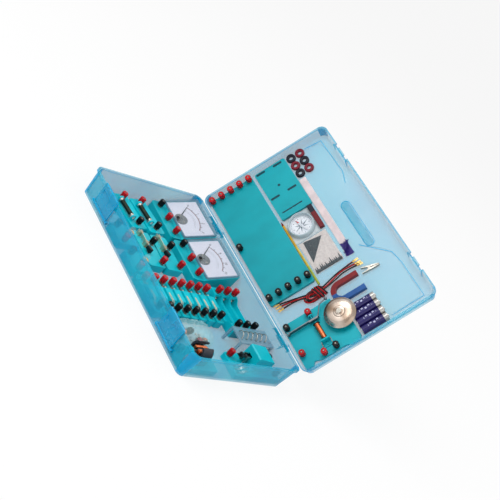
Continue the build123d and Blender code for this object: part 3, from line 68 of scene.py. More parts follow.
def lid_place(u: float = 0.0, v: float = 0.0, h: float = 0.0) -> Matrix:
    """A place in the open lid: u along the hinge, v from the hinge edge, h above its inner floor."""
    return Matrix.Translation(LID_ORIGIN) @ Matrix.Rotation(LID_TURN, 4, "X") @ tray_place(u, v, h)


def around(steps: int) -> list[float]:
    """The angles of some even steps once round."""
    return [2 * math.pi * step / steps for step in range(steps)]


def paint(code: str, shade: float = 1.0) -> Colour:
    """Turn a six-digit colour code into a shader colour.

    Args:
        code: Red, green and blue as pairs of hexadecimal digits.
        shade: A factor on all three.

    Returns:
        The linear colour, opaque.
    """
    parts = [int(code[i:i + 2], 16) / 255 for i in (0, 2, 4)]
    red, green, blue = (shade * (c / 12.92 if c < 0.04045 else ((c + 0.055) / 1.055) ** 2.4) for c in parts)
    return (red, green, blue, 1.0)


def put(name: str, data: bpy.types.ID) -> bpy.types.Object:
    """Add an object to the scene.

    Args:
        name: Its name.
        data: Its mesh, curve, camera or light.

    Returns:
        The object.
    """
    made = bpy.data.objects.new(name, data)
    bpy.context.scene.collection.objects.link(made)
    return made


def maths(operation: str, swapped: bool = False) -> Callable[..., "Value"]:
    """Make the method that adds a Math node for an operator.

    Args:
        operation: The node's operation.
        swapped: Whether the method's own value comes second.

    Returns:
        The method.
    """
    def method(own: "Value", other: Any = 0.0) -> "Value":
        """Work out own and other."""
        first, second = (other, own) if swapped else (own, other)
        return own.bench.value("ShaderNodeMath", {"operation": operation}, {0: first, 1: second})

    return method


class Value:
    """A shader socket that takes part in sums."""

    def __init__(self, bench: "Bench", socket: bpy.types.NodeSocket) -> None:
        """Keep the socket and the bench that its sums are added to."""
        self.bench = bench
        self.socket = socket

    __add__ = __radd__ = maths("ADD")
    __sub__ = maths("SUBTRACT")
    __rsub__ = maths("SUBTRACT", swapped=True)
    __mul__ = __rmul__ = maths("MULTIPLY")
    __truediv__ = maths("DIVIDE")
    __lt__ = maths("LESS_THAN")
    __gt__ = maths("GREATER_THAN")
    __abs__ = maths("ABSOLUTE")
    least = maths("MINIMUM")
    most = maths("MAXIMUM")
    root = maths("SQRT")
    angle = maths("ARCTAN2")
    cosine = maths("COSINE")
    rounded = maths("ROUND")

    def wave(self, step: float) -> "Value":
        """Distance to the nearest whole multiple of step."""
        return abs(self - (self / step).rounded() * step)

    def over(self, low: float, high: float) -> "Value":
        """Self mapped from low..high to 0..1, smoothly."""
        return self.bench.value("ShaderNodeMapRange", {"interpolation_type": "SMOOTHSTEP"},
                                {"Value": self, "From Min": low, "From Max": high})


class Bench:
    """One material, or the world, in the making."""

    gloss = 0.22
    mix_inputs = (6, 7)
    mix_result = 2

    def __init__(self, owner: bpy.types.Material | bpy.types.World) -> None:
        """Empty the owner's node tree.

        Args:
            owner: The material or the world.
        """
        owner.use_nodes = True
        self.tree = owner.node_tree
        self.tree.nodes.clear()

    @cached_property
    def coords(self) -> bpy.types.Node:
        """The node of the piece's own coordinates."""
        return self.node("ShaderNodeTexCoord", {}, {})

    def node(self, kind: str, settings: dict[str, Any], values: dict[Any, Any]) -> bpy.types.Node:
        """Add a node.

        Args:
            kind: The node's type.
            settings: Its settings, set first; "stops" gives the positions and colours of a banded ramp.
            values: Its sockets' values or links, by name or number.

        Returns:
            The node.
        """
        made = self.tree.nodes.new(kind)
        for key, value in settings.items():
            if key == "stops":
                ramp = made.color_ramp
                ramp.interpolation = "CONSTANT"
                while len(ramp.elements) < len(value):
                    ramp.elements.new(0.5)
                for element, (position, colour) in zip(ramp.elements, value):
                    element.position = position
                    element.color = colour
            else:
                setattr(made, key, value)
        for key, value in values.items():
            if isinstance(value, Value):
                self.tree.links.new(value.socket, made.inputs[key])
            else:
                made.inputs[key].default_value = value
        return made

    def value(self, kind: str, settings: dict[str, Any], values: dict[Any, Any]) -> Value:
        """The first output of a new node."""
        return Value(self, self.node(kind, settings, values).outputs[0])

    def grain(self, scale: float, detail: float = 2.0, stretch: Triple = (1.0, 1.0, 1.0)) -> Value:
        """Add noise.

        Args:
            scale: Grains per metre.
            detail: Octaves.
            stretch: Factors along X, Y and Z.

        Returns:
            A value about 0.5.
        """
        own = Value(self, self.coords.outputs["Object"])
        spot = self.value("ShaderNodeMapping", {}, {"Vector": own, "Scale": stretch})
        return self.value("ShaderNodeTexNoise", {}, {"Vector": spot, "Scale": scale, "Detail": detail})

    def uneven(self, middle: float, scale: float, spread: float) -> Value:
        """A value that wanders about a middle, in some grains per metre."""
        return middle + (self.grain(scale) - 0.5) * spread

    def split(self, output: str) -> list[Value]:
        """The three parts of one of the piece's coordinates, "Object" or "UV"."""
        made = self.node("ShaderNodeSeparateXYZ", {}, {0: Value(self, self.coords.outputs[output])})
        return [Value(self, part) for part in made.outputs]

    def polar(self, below: float = 0.0) -> tuple[Value, Value]:
        """Read the UV map as polar coordinates.

        Args:
            below: How far up the map the centre lies, in millimetres.

        Returns:
            The distance from the centre and the angle from the map's upright.
        """
        x, y, _ = self.split("UV")
        y = y - below
        return (x * x + y * y).root(), x.angle(y)

    def mix(self, share: Any, first: Any, second: Any) -> Value:
        """A colour between two others."""
        values = dict(zip(("Factor", *self.mix_inputs), (share, first, second)))
        return Value(self, self.node("ShaderNodeMix", {"data_type": "RGBA"}, values).outputs[self.mix_result])

    def close(self, bump: Value, lift: float, **sockets: Any) -> None:
        """Finish the material.

        Args:
            bump: A height.
            lift: The height's full size in millimetres.
            sockets: Principled sockets by name, with spaces as underscores.
        """
        values = {key.replace("_", " "): value for key, value in sockets.items()}
        values["Specular IOR Level"] = self.gloss
        values["Normal"] = self.value("ShaderNodeBump", {}, {"Height": bump, "Strength": 1.0,
                                                             "Distance": lift * MM})
        self.output(self.value("ShaderNodeBsdfPrincipled", {}, values))

    def output(self, shader: Value, kind: str = "Material") -> None:
        """Send a shader to the output of the material or world."""
        self.node(f"ShaderNodeOutput{kind}", {}, {"Surface": shader})


@dataclass(frozen=True)
class Moulded:
    """Moulded plastic: faint flow marks, a fine skin and soft changes of tone."""

    colour: str
    roughness: float = 0.32
    depth: float = 0.12
    coat: float = 0.15

    def make(self, bench: Bench) -> None:
        """Build the finish.

        Args:
            bench: The bench of its material.
        """
        tone = bench.grain(28, 3, (1.0, 1.0, 0.5)).over(0.3, 0.7)
        colour = bench.mix(tone, paint(self.colour, 1 - self.depth), paint(self.colour))
        bench.close(bench.grain(1600), 0.02, Base_Color=colour, Coat_Weight=self.coat, Coat_Roughness=0.12,
                    Roughness=bench.uneven(self.roughness, 90, 0.16))


@dataclass(frozen=True)
class SeeThrough:
    """Translucent plastic, with flow marks in its tone and density."""

    colour: str
    deep: str
    density: float
    roughness: float = 0.16
    coat: float = 0.2

    def make(self, bench: Bench) -> None:
        """Build the finish.

        Args:
            bench: The bench of its material.
        """
        flow = bench.grain(9, 3, (1.0, 1.6, 1.0)).over(0.32, 0.68)
        bench.close(bench.grain(220, 1), 0.05, Coat_Weight=self.coat, Coat_Roughness=0.08,
                    Base_Color=bench.mix(flow, paint(self.deep), paint(self.colour)),
                    Roughness=bench.uneven(self.roughness, 60, 0.1),
                    Alpha=bench.uneven(self.density, 14, 0.2 * self.density))


@dataclass(frozen=True)
class Metal:
    """Bare or plated metal with fine drawn lines and dull patches."""

    colour: str
    roughness: float = 0.22
    lines: Triple = (1.0, 1.0, 1.0)
    dullest: float = 0.72

    def make(self, bench: Bench) -> None:
        """Build the finish.

        Args:
            bench: The bench of its material.
        """
        dull = bench.grain(120, 3).over(0.42, 0.72)
        fine = bench.grain(2600, 2, self.lines)
        colour = bench.mix(dull * 0.6, paint(self.colour), paint(self.colour, self.dullest))
        bench.close(fine, 0.01, Base_Color=colour, Metallic=1.0,
                    Roughness=self.roughness + dull * 0.14 + (fine - 0.5) * 0.08)


@dataclass(frozen=True)
class Banded:
    """Bands of several colours one after another along X, in millimetres."""

    stops: tuple[tuple[float, str], ...]
    start: float
    length: float
    roughness: float = 0.35
    jagged: float = 0.0
    worn: str = "0A0A0C"

    def make(self, bench: Bench) -> None:
        """Build the finish.

        Args:
            bench: The bench of its material.
        """
        along = (bench.split("Object")[0] - self.start * MM) / (self.length * MM)
        stops = [(position, paint(code)) for position, code in self.stops]
        spot = along + (bench.grain(240, 3) - 0.5) * self.jagged
        bands = bench.value("ShaderNodeValToRGB", {"stops": stops}, {0: spot})
        wear = bench.grain(70, 3).over(0.35, 0.7) * 0.16
        bench.close(bench.grain(1300), 0.02, Base_Color=bench.mix(wear, bands, paint(self.worn)),
                    Coat_Weight=0.04, Roughness=bench.uneven(self.roughness, 200, 0.14))


@dataclass(frozen=True)
class Grainy:
    """A rough, granular finish of two tones."""

    colour: str
    dark: str
    scale: float
    lift: float
    roughness: float = 0.8
    metallic: float = 0.0

    def make(self, bench: Bench) -> None:
        """Build the finish.

        Args:
            bench: The bench of its material.
        """
        lumps = bench.grain(self.scale, 4)
        colour = bench.mix(lumps.over(0.35, 0.62), paint(self.dark), paint(self.colour))
        bench.close(lumps, self.lift, Base_Color=colour, Metallic=self.metallic,
                    Roughness=bench.uneven(self.roughness, self.scale / 3, 0.2))


@dataclass(frozen=True)
class Scale:
    """A meter's printed card: an arc with ticks round the pointer's pivot."""

    pivot: float = 10.8
    radius: float = 40.0
    half_turn: float = 0.733
    divisions: int = 30
    inner_rings: Pair = (32.0, 29.6)
    tones: tuple[str, str] = ("D3D2E2", "E2E2EE")
    ink: str = "3A3A44"
    arc_ink: str = "7A3B33"

    def make(self, bench: Bench) -> None:
        """Build the finish.

        Args:
            bench: The bench of its material.
        """
        far, turn = bench.polar(self.pivot)
        inside = abs(turn) < self.half_turn + 0.008
        arc = (abs(far - self.radius) < 0.6) * inside
        step = 2 * self.half_turn / self.divisions
        ticks = 0.0
        for skip, wide, tall in ((1, 0.26, 2.2), (5, 0.55, 3.8)):
            mark = (turn + self.half_turn).wave(step * skip) * self.radius < wide
            ticks = mark * (far > self.radius) * (far < self.radius + tall) + ticks
        for radius in self.inner_rings:
            ticks = (abs(far - radius) < 0.2) * 0.6 + ticks
        card = bench.mix(bench.grain(60, 3), *map(paint, self.tones))
        inked = bench.mix((ticks * inside).least(1.0), card, paint(self.ink))
        bench.close(bench.grain(900), 0.01, Base_Color=bench.mix(arc, inked, paint(self.arc_ink)),
                    Roughness=bench.uneven(0.42, 300, 0.1))


@dataclass(frozen=True)
class CompassCard:
    """A compass card with a ring of fine divisions and eight square dots."""

    radius: float = 18.6
    dots: float = 14.8
    tones: tuple[str, str] = ("E9EBF4", "F8F8FC")
    ink: str = "55607C"

    def make(self, bench: Bench) -> None:
        """Build the finish.

        Args:
            bench: The bench of its material.
        """
        far, turn = bench.polar()
        ring = abs(far - self.radius) < 0.16
        ticks = (turn.wave(math.pi / 18) * self.radius < 0.2) * (abs(far - self.radius + 0.9) < 0.9)
        dots = (turn.wave(math.pi / 4) * self.dots < 0.7) * (abs(far - self.dots) < 0.7)
        card = bench.mix(bench.grain(90, 3), *map(paint, self.tones))
        colour = bench.mix((ring + ticks + dots).least(1.0), card, paint(self.ink))
        bench.close(bench.grain(900), 0.01, Base_Color=colour, Roughness=bench.uneven(0.36, 300, 0.1))


@dataclass(frozen=True)
class Sleeve:
    """A cell's printed sleeve: indigo, with rows of plain pale blocks and bare metal ends."""

    middle: float = 24.5
    printed: float = 11.5
    bare: Pair = (1.0, 41.5)
    tones: tuple[str, str] = ("191450", "2A2268")
    blocks: str = "B9BCDC"
    metal: str = "A8A6A2"

    def make(self, bench: Bench) -> None:
        """Build the finish.

        Args:
            bench: The bench of its material.
        """
        across, along, _ = bench.split("UV")
        block = (along.wave(6.2) < 1.7) * (abs(across - 11.2 + along.wave(12.4) * 0.5) < 1.5)
        block = block * (abs(along - self.middle) < self.printed)
        ends = (along > self.bare[1]) + (along < self.bare[0])
        tone = bench.mix(bench.grain(50, 3), *map(paint, self.tones))
        colour = bench.mix(ends, bench.mix(block, tone, paint(self.blocks)), paint(self.metal))
        bench.close(bench.grain(1200), 0.02, Base_Color=colour, Metallic=ends * 0.85, Coat_Weight=0.3,
                    Roughness=bench.uneven(0.3, 160, 0.12))


@dataclass(frozen=True)
class Turned:
    """Bright turned metal with fine rings and three grooves round one axis, painted reflections in bands by
    angle, and painted shade in the grooves.
    """

    colour: str
    step: float
    shade: str = "84705F"
    groove_shade_colour: str = "3A302A"
    roughness: float = 0.26
    grooves: tuple[Triple, ...] = ((9.6, 0.5, 1.0), (5.6, 0.4, 1.0), (18.4, 0.45, 0.4))

    def make(self, bench: Bench) -> None:
        """Build the finish.

        Args:
            bench: The bench of its material.
        """
        far, turn = bench.polar()
        # Painted reflection: light and dark bands by angle round the axis, as turned metal reflects.
        painted_sheen = (turn * 2 + 1.2).cosine() * 0.36 + (turn * 5 + 2.0).cosine() * 0.14 + 0.5
        dull = bench.grain(80, 3).over(0.35, 0.75)
        # Painted shade: three rings darkened at the grooves and steps of the turned face.
        groove_shade = sum((abs(far - radius) < wide) * depth for radius, wide, depth in self.grooves)
        bright = bench.mix(painted_sheen, paint(self.shade), paint(self.colour))
        dulled = bench.mix(dull * 0.3, bright, paint(self.shade))
        colour = bench.mix(groove_shade * 0.6, dulled, paint(self.groove_shade_colour))
        bench.close(far.wave(self.step) / self.step, 0.012, Base_Color=colour, Metallic=1.0,
                    Roughness=self.roughness + dull * 0.1)


class Look(Enum):
    TRAY = SeeThrough("00BCD6", "00A8CE", 0.47)
    LID = SeeThrough("1EBAD8", "0EAACF", 0.42)
    LATCH = SeeThrough("00B4DC", "009ED2", 0.5)
    TRAY_EDGE = SeeThrough("00AEDC", "009ED2", 0.8, 0.2, 0.05)
    LID_EDGE = SeeThrough("10ACD8", "0A9CD0", 0.76, 0.2, 0.05)
    # One teal plastic in three copies whose brightness is painted light: the lid's plates darkest, the meters
    # and bell lighter, the base's boards lightest.
    TEAL = Moulded("02A4B0", 0.36, 0.12, 0.06)
    HALF_LIT_TEAL = Moulded("03B4C2", 0.36, 0.12, 0.06)
    LIT_TEAL = Moulded("06C6D6", 0.36, 0.12, 0.06)
    # Painted shade, seen through the slots of the lid's slotted plate.
    SLOT_SHADE = Moulded("06424E", 0.5, 0.2, 0.0)
    RED = Moulded("CE1620", 0.4, 0.2, 0.08)
    BLACK = Moulded("0E0E12", 0.42, 0.3, 0.05)
    NAVY = Moulded("09091F", 0.42, 0.3, 0.05)
    DARK_RED = Moulded("740A24", 0.4, 0.2, 0.05)
    CARD = Moulded("C9D2D6", 0.5, 0.1, 0.0)
    PINK_CARD = Grainy("DDD2CD", "CFC2BE", 260, 0.02, 0.6)
    PORCELAIN = Moulded("DDDAD0", 0.3, 0.1, 0.2)
    NICKEL = Metal("A9A59C", 0.24)
    # Nickel painted darker, standing in for the shade under the post caps; the stud ends share it.
    SHADED_NUT = Metal("86827A", 0.3)
    CONTACT = Metal("E2D6BE", 0.38)
    RIM = Moulded("B9C9D0", 0.24, 0.12, 0.4)
    STEEL = Metal("77797C", 0.34, (0.2, 1.0, 1.0))
    BRASS = Metal("D9B36A", 0.24, (0.1, 1.0, 1.0))
    COPPER = Metal("D0734A", 0.26)
    ENAMEL = Metal("A8502C", 0.34)
    DARK_WIRE = Metal("3C443C", 0.42)
    IRON = Grainy("4A4A50", "2C2C32", 900, 0.05, 0.5, 0.6)
    FILINGS = Grainy("3A393D", "121215", 1100, 0.5, 0.8, 0.1)
    CLEAR = SeeThrough("C8DCE4", "B4CCD8", 0.06, 0.08, 0.0)
    CLEAR_EDGE = SeeThrough("8FB4C6", "7AA2B8", 0.55, 0.14)
    GLASS = SeeThrough("D8E8EC", "C8DEE4", 0.07, 0.05, 0.0)
    FILM = SeeThrough("C4ECEE", "8CD2DA", 0.26, 0.06, 0.6)
    SCALE = Scale()
    COMPASS = CompassCard()
    SLEEVE = Sleeve()
    GONG = Turned("D6C8BC", 1.3)
    RED_LEAD = Moulded("B50F16", 0.42, 0.25, 0.1)
    BLACK_LEAD = Moulded("17171A", 0.45, 0.3, 0.1)
    MAGNET_BAR = Banded(((0.0, "0B0B22"), (0.5, "6C0E1A")), -77.0, 32.0)
    HORSESHOE = Banded(((0.0, "7E0C14"), (0.5, "1A5498")), 81.5, 30.0)
    STRIP = Banded(((0.0, "E3D3D5"), (0.5, "382A78")), -133.5, 303.0, 0.5, 0.03)
    ROD = Banded(((0.0, "7A1414"), (0.065, "D9A42A"), (0.4, "D8B43A"), (0.72, "A9B43E")), -79.0, 141.0, 0.3)
    NAVY_PURPLE = Moulded("3A2A80", 0.2, 0.3, 0.4)
    NEEDLE_POINT = Banded(((0.0, "D23038"), (0.5, "E9EAF2")), -73.5, 30.0, 0.4)
    POINTER = Moulded("101014", 0.5, 0.2, 0.0)
    ROSE_DARK = Moulded("27325E", 0.5, 0.1, 0.0)


@cache
def material(look: Look) -> bpy.types.Material:
    """Give the material of a finish, made once.

    Args:
        look: The finish.

    Returns:
        The material.
    """
    made = bpy.data.materials.new(look.name.lower())
    look.value.make(Bench(made))
    return made


class Form:
    """A mesh in the making, in millimetres of its own frame."""

    def __init__(self) -> None:
        """Start empty."""
        self.bm = bmesh.new()

    @classmethod
    def block(cls, x: float, y: float, z: float, edge: float = 0.3) -> "Form":
        """Make a block standing on its frame.

        Args:
            x: Its size along X.
            y: Its size along Y.
            z: Its height.
            edge: The width of its rounded edges.

        Returns:
            The block.
        """
        form = cls()
        bmesh.ops.create_cube(form.bm, size=1.0)
        bmesh.ops.scale(form.bm, vec=(x, y, z), verts=form.bm.verts)
        return form.moved(z=z / 2).eased(edge)

    @classmethod
    def bar(cls, radius: float, height: float, edge: float = 0.0, sides: int = 24,
            top: float | None = None) -> "Form":
        """Make a round or many-sided bar standing on its frame.

        Args:
            radius: Its radius at the foot.
            height: Its height.
            edge: The width of its rounded edges.
            sides: Its number of sides.
            top: Its radius at the top, or nothing for the foot's.

        Returns:
            The bar.
        """
        form = cls()
        bmesh.ops.create_cone(form.bm, cap_ends=True, segments=sides, radius1=radius,
                              radius2=radius if top is None else top, depth=height)
        return form.moved(z=height / 2).eased(edge, limit=50)

    @classmethod
    def turned(cls, profile: Sequence[Pair], steps: int = 32) -> "Form":
        """Turn a piece about its frame's upright.

        Args:
            profile: Points of radius and height.
            steps: Steps once round.

        Returns:
            The piece.
        """
        form = cls()
        verts = [form.bm.verts.new((radius, 0.0, height)) for radius, height in profile]
        edges = [form.bm.edges.new(pair) for pair in zip(verts, verts[1:])]
        bmesh.ops.spin(form.bm, geom=verts + edges, axis=UP, cent=(0, 0, 0), angle=2 * math.pi, steps=steps,
                       use_merge=True)
        bmesh.ops.remove_doubles(form.bm, verts=form.bm.verts, dist=MERGE)
        bmesh.ops.recalc_face_normals(form.bm, faces=form.bm.faces)
        return form

    @classmethod
    def hoop(cls, inner: float, outer: float, low: float, high: float, steps: int) -> "Form":
        """A flat-sided ring between two radii and two heights."""
        return cls.turned([(inner, low), (outer, low), (outer, high), (inner, high), (inner, low)], steps)

    @classmethod
    def plate(cls, x: float, y: float, z: float, corner: float, edge: float = 0.0) -> "Form":
        """Make a plate with rounded corners.

        Args:
            x: Its size along X.
            y: Its size along Y.
            z: Its height.
            corner: The radius of its corners.
            edge: The width of its rounded edges.

        Returns:
            The plate.
        """
        form = cls.block(x, y, z, 0.0)
        upright = [e for e in form.bm.edges if abs((e.verts[0].co - e.verts[1].co).z) > z / 2]
        bmesh.ops.bevel(form.bm, geom=upright, offset=corner, affect="EDGES", segments=5, profile=0.5,
                        material=-1)
        return form.eased(edge, limit=60)

    @classmethod
    def sheet(cls, outline: Sequence[Pair], z: float) -> "Form":
        """Make a flat piece with an outline in its own plane.

        Args:
            outline: Its corners.
            z: Its height.

        Returns:
            The piece.
        """
        form = cls()
        form.bm.faces.new([form.bm.verts.new((x, y, 0.0)) for x, y in outline])
        return form.thickened(z)

    @classmethod
    def wire(cls, points: Sequence[Sequence[float]], radius: float, closed: bool = False,
             sides: int = 2) -> "Form":
        """A round wire along a smooth line, as smooth_line makes it."""
        return cls.from_object(smooth_line("wire", [Vector(p) for p in points], radius, closed, sides))

    @classmethod
    def words(cls, text: str, size: float, depth: float = 0.12) -> "Form":
        """Make flat numerals, centred on their frame.

        Args:
            text: The numerals.
            size: Their height.
            depth: Half their thickness.

        Returns:
            The numerals.
        """
        data = bpy.data.curves.new("numerals", "FONT")
        data.body = text
        data.size = size
        data.align_x = "CENTER"
        data.align_y = "CENTER"
        data.extrude = depth
        data.resolution_u = 3
        return cls.from_object(put("numerals", data))

    @classmethod
    def from_object(cls, shape: bpy.types.Object) -> "Form":
        """Take the mesh of a curve or text object, which is then removed.

        Args:
            shape: The object.

        Returns:
            Its form.
        """
        bpy.context.view_layer.update()
        mesh = bpy.data.meshes.new_from_object(shape.evaluated_get(bpy.context.evaluated_depsgraph_get()))
        form = cls()
        form.bm.from_mesh(mesh)
        bpy.data.objects.remove(shape)
        bpy.data.meshes.remove(mesh)
        bmesh.ops.remove_doubles(form.bm, verts=form.bm.verts, dist=MERGE)
        return form

    @classmethod
    def node(cls, name: str) -> "Form":
        """Copy a CAD node, merged and with its flat faces whole.

        Args:
            name: The node.

        Returns:
            The copy.
        """
        form = cls()
        form.bm.from_mesh(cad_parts[name].data)
        bmesh.ops.scale(form.bm, vec=(1 / MM,) * 3, verts=form.bm.verts)
        bmesh.ops.remove_doubles(form.bm, verts=form.bm.verts, dist=2 * MERGE)
        bmesh.ops.dissolve_limit(form.bm, angle_limit=math.radians(0.4), verts=form.bm.verts,
                                 edges=form.bm.edges)
        return form

    def eased(self, width: float, limit: float = 30.0, slot: int = 0) -> "Form":
        """Round the sharp edges.

        Args:
            width: How wide the rounding is.
            limit: The least angle of a sharp edge, in degrees.
            slot: The material slot of the new faces.

        Returns:
            The form itself.
        """
        if width > 0:
            self.bm.normal_update()
            least = math.radians(limit)
            sharp = [e for e in self.bm.edges if e.is_manifold and e.calc_face_angle(0.0) > least]
            made = bmesh.ops.bevel(self.bm, geom=sharp, offset=width, offset_type="OFFSET", affect="EDGES",
                                   segments=2, profile=0.5, material=-1, clamp_overlap=True)
            for face in made["faces"]:
                face.material_index = slot
        return self

    def thickened(self, height: float) -> "Form":
        """Raise a flat form into a solid.

        Args:
            height: How high.

        Returns:
            The form itself.
        """
        made = bmesh.ops.extrude_face_region(self.bm, geom=list(self.bm.faces))
        lifted = [v for v in made["geom"] if isinstance(v, bmesh.types.BMVert)]
        bmesh.ops.translate(self.bm, vec=(0, 0, height), verts=lifted)
        bmesh.ops.recalc_face_normals(self.bm, faces=self.bm.faces)
        return self

    def moved(self, x: float = 0.0, y: float = 0.0, z: float = 0.0) -> "Form":
        """Shift the whole piece."""
        bmesh.ops.translate(self.bm, vec=(x, y, z), verts=self.bm.verts)
        return self

    def swung(self, degrees: float, axis: str) -> "Form":
        """Turn the whole piece about one of its frame's axes.

        Args:
            degrees: How far.
            axis: The axis, "X", "Y" or "Z".

        Returns:
            The form itself.
        """
        turn = Matrix.Rotation(math.radians(degrees), 3, axis)
        bmesh.ops.rotate(self.bm, cent=(0, 0, 0), matrix=turn, verts=self.bm.verts)
        return self

    def placed(self, place: Matrix) -> "Form":
        """Put the whole piece at a place.

        Args:
            place: The place, whose shift is in metres.

        Returns:
            The form itself.
        """
        shift = Matrix.Translation(place.translation * (1 / MM - 1))
        bmesh.ops.transform(self.bm, matrix=shift @ place, verts=self.bm.verts)
        return self

    def dyed(self, slot: int | Callable[[bmesh.types.BMFace], int]) -> "Form":
        """Give every face a material slot.

        Args:
            slot: The slot, or the rule that gives a face's slot.

        Returns:
            The form itself.
        """
        self.bm.normal_update()
        for face in self.bm.faces:
            face.material_index = slot if isinstance(slot, int) else int(slot(face))
        return self

    def mapped(self, rule: Callable[[Vector], Pair] = lambda co: (co.x, co.y)) -> "Form":
        """Write a UV map.

        Args:
            rule: What gives a corner's point on the map from its place.

        Returns:
            The form itself.
        """
        layer = self.bm.loops.layers.uv.verify()
        for face in self.bm.faces:
            for loop in face.loops:
                loop[layer].uv = rule(loop.vert.co)
        return self

    def mesh(self, name: str) -> bpy.types.Mesh:
        """Hand the shape over as a mesh.

        Args:
            name: The mesh's name.

        Returns:
            The mesh.
        """
        mesh = bpy.data.meshes.new(name)
        self.bm.to_mesh(mesh)
        self.bm.free()
        return mesh

    def add(self, *others: "Form") -> "Form":
        """Take other pieces in."""
        for other in others:
            mesh = other.mesh("part")
            self.bm.from_mesh(mesh)
            bpy.data.meshes.remove(mesh)
        return self

    def islands(self) -> list[tuple[Vector, Vector]]:
        """Find the loose parts.

        Returns:
            The lowest and highest corner of each, in order of place.
        """
        left = set(self.bm.verts)
        boxes = []
        while left:
            front = [left.pop()]
            part = []
            while front:
                vert = front.pop()
                part.append(vert.co)
                near = {e.other_vert(vert) for e in vert.link_edges} & left
                left -= near
                front.extend(near)
            boxes.append(tuple(Vector([pick(c[i] for c in part) for i in range(3)]) for pick in (min, max)))
        return sorted(boxes, key=lambda b: tuple(b[0]))

    def done(self, name: str, body: str, slot: str, looks: Sequence[Look], place: Matrix = HERE,
             replaces: Sequence[str] = (), smooth: float = 40.0) -> bpy.types.Object:
        """Make the finished piece.

        Args:
            name: The piece's name.
            body: The CAD body that it rides on.
            slot: The record's material slot; not used.
            looks: Its finishes, in the order of its material slots.
            place: Where its frame stands.
            replaces: The CAD nodes that it stands for.
            smooth: Edges sharper than this stay sharp, in degrees.

        Returns:
            The object.
        """
        self.placed(place)
        bmesh.ops.scale(self.bm, vec=(MM,) * 3, verts=self.bm.verts)
        self.bm.normal_update()
        for edge in self.bm.edges:
            edge.smooth = edge.is_manifold and edge.calc_face_angle(0.0) < math.radians(smooth)
        for face in self.bm.faces:
            face.smooth = True
        mesh = self.mesh(name)
        for look in looks:
            mesh.materials.append(material(look))
        piece = put(name, mesh)
        piece.modifiers.new("even_faces", "WEIGHTED_NORMAL").keep_sharp = True
        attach(piece, body)
        if replaces:
            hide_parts(*replaces)
        LOG.info("%s: %d faces on %s", name, len(mesh.polygons), body)
        return piece


def smooth_line(name: str, points: Sequence[Vector], radius: float, closed: bool = False,
                sides: int = 2) -> bpy.types.Object:
    """Lay a round line on a NURBS spline.

    Args:
        name: The object's name.
        points: Its control points.
        radius: The line's radius, in the points' unit.
        closed: Whether it joins up.
        sides: Bevel resolution.

    Returns:
        The curve object.
    """
    data = bpy.data.curves.new(name, "CURVE")
    data.dimensions = "3D"
    data.bevel_depth = radius
    data.bevel_resolution = sides
    data.resolution_u = 6
    data.use_fill_caps = not closed
    spline = data.splines.new("NURBS")
    spline.points.add(len(points) - 1)
    for spot, point in zip(spline.points, points):
        spot.co = (*point, 1.0)
    spline.order_u = 3
    spline.use_endpoint_u = not closed
    spline.use_cyclic_u = closed
    return put(name, data)


def winding(start: float, finish: float, radius: float, core: float, pitch: float = 0.9) -> Form:
    """Wind wire closely about the upright, with a round ridge for every turn.

    Args:
        start: Height of its first turn.
        finish: Height of its last turn.
        radius: Its outer radius.
        core: Its inner radius.
        pitch: Height of a turn.

    Returns:
        The winding.
    """
    count = int((finish - start) / pitch)
    step = (finish - start) / count
    valley = radius - pitch * 0.28
    profile = [(core, start)]
    for k in range(count):
        low = start + k * step
        profile += [(valley, low), (radius, low + step * 0.3), (radius, low + step * 0.7)]
    return Form.turned(profile + [(valley, finish), (core, finish), (core, start)], 24)


def dress(node: str, look: Look) -> None:
    """Give a CAD node that stays its finish.

    Args:
        node: The node.
        look: The finish.
    """
    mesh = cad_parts[node].data
    mesh.materials.clear()
    mesh.materials.append(material(look))
    LOG.info("%s dressed", node)


def eased_copy(node: str, body: str, slot: str, look: Look, width: float, limit: float,
               name: str = "") -> None:
    """Stand a copy with rounded edges in for a CAD node.

    Args:
        node: The node.
        body: The CAD body that the copy rides on.
        slot: The record's material slot.
        look: Its finish.
        width: How wide the rounding is.
        limit: The least angle of a sharp edge, in degrees.
        name: The copy's name, or nothing for one from the node's.
    """
    Form.node(node).eased(width, limit).done(name or f"{node}_finish", body, slot, [look], replaces=[node])


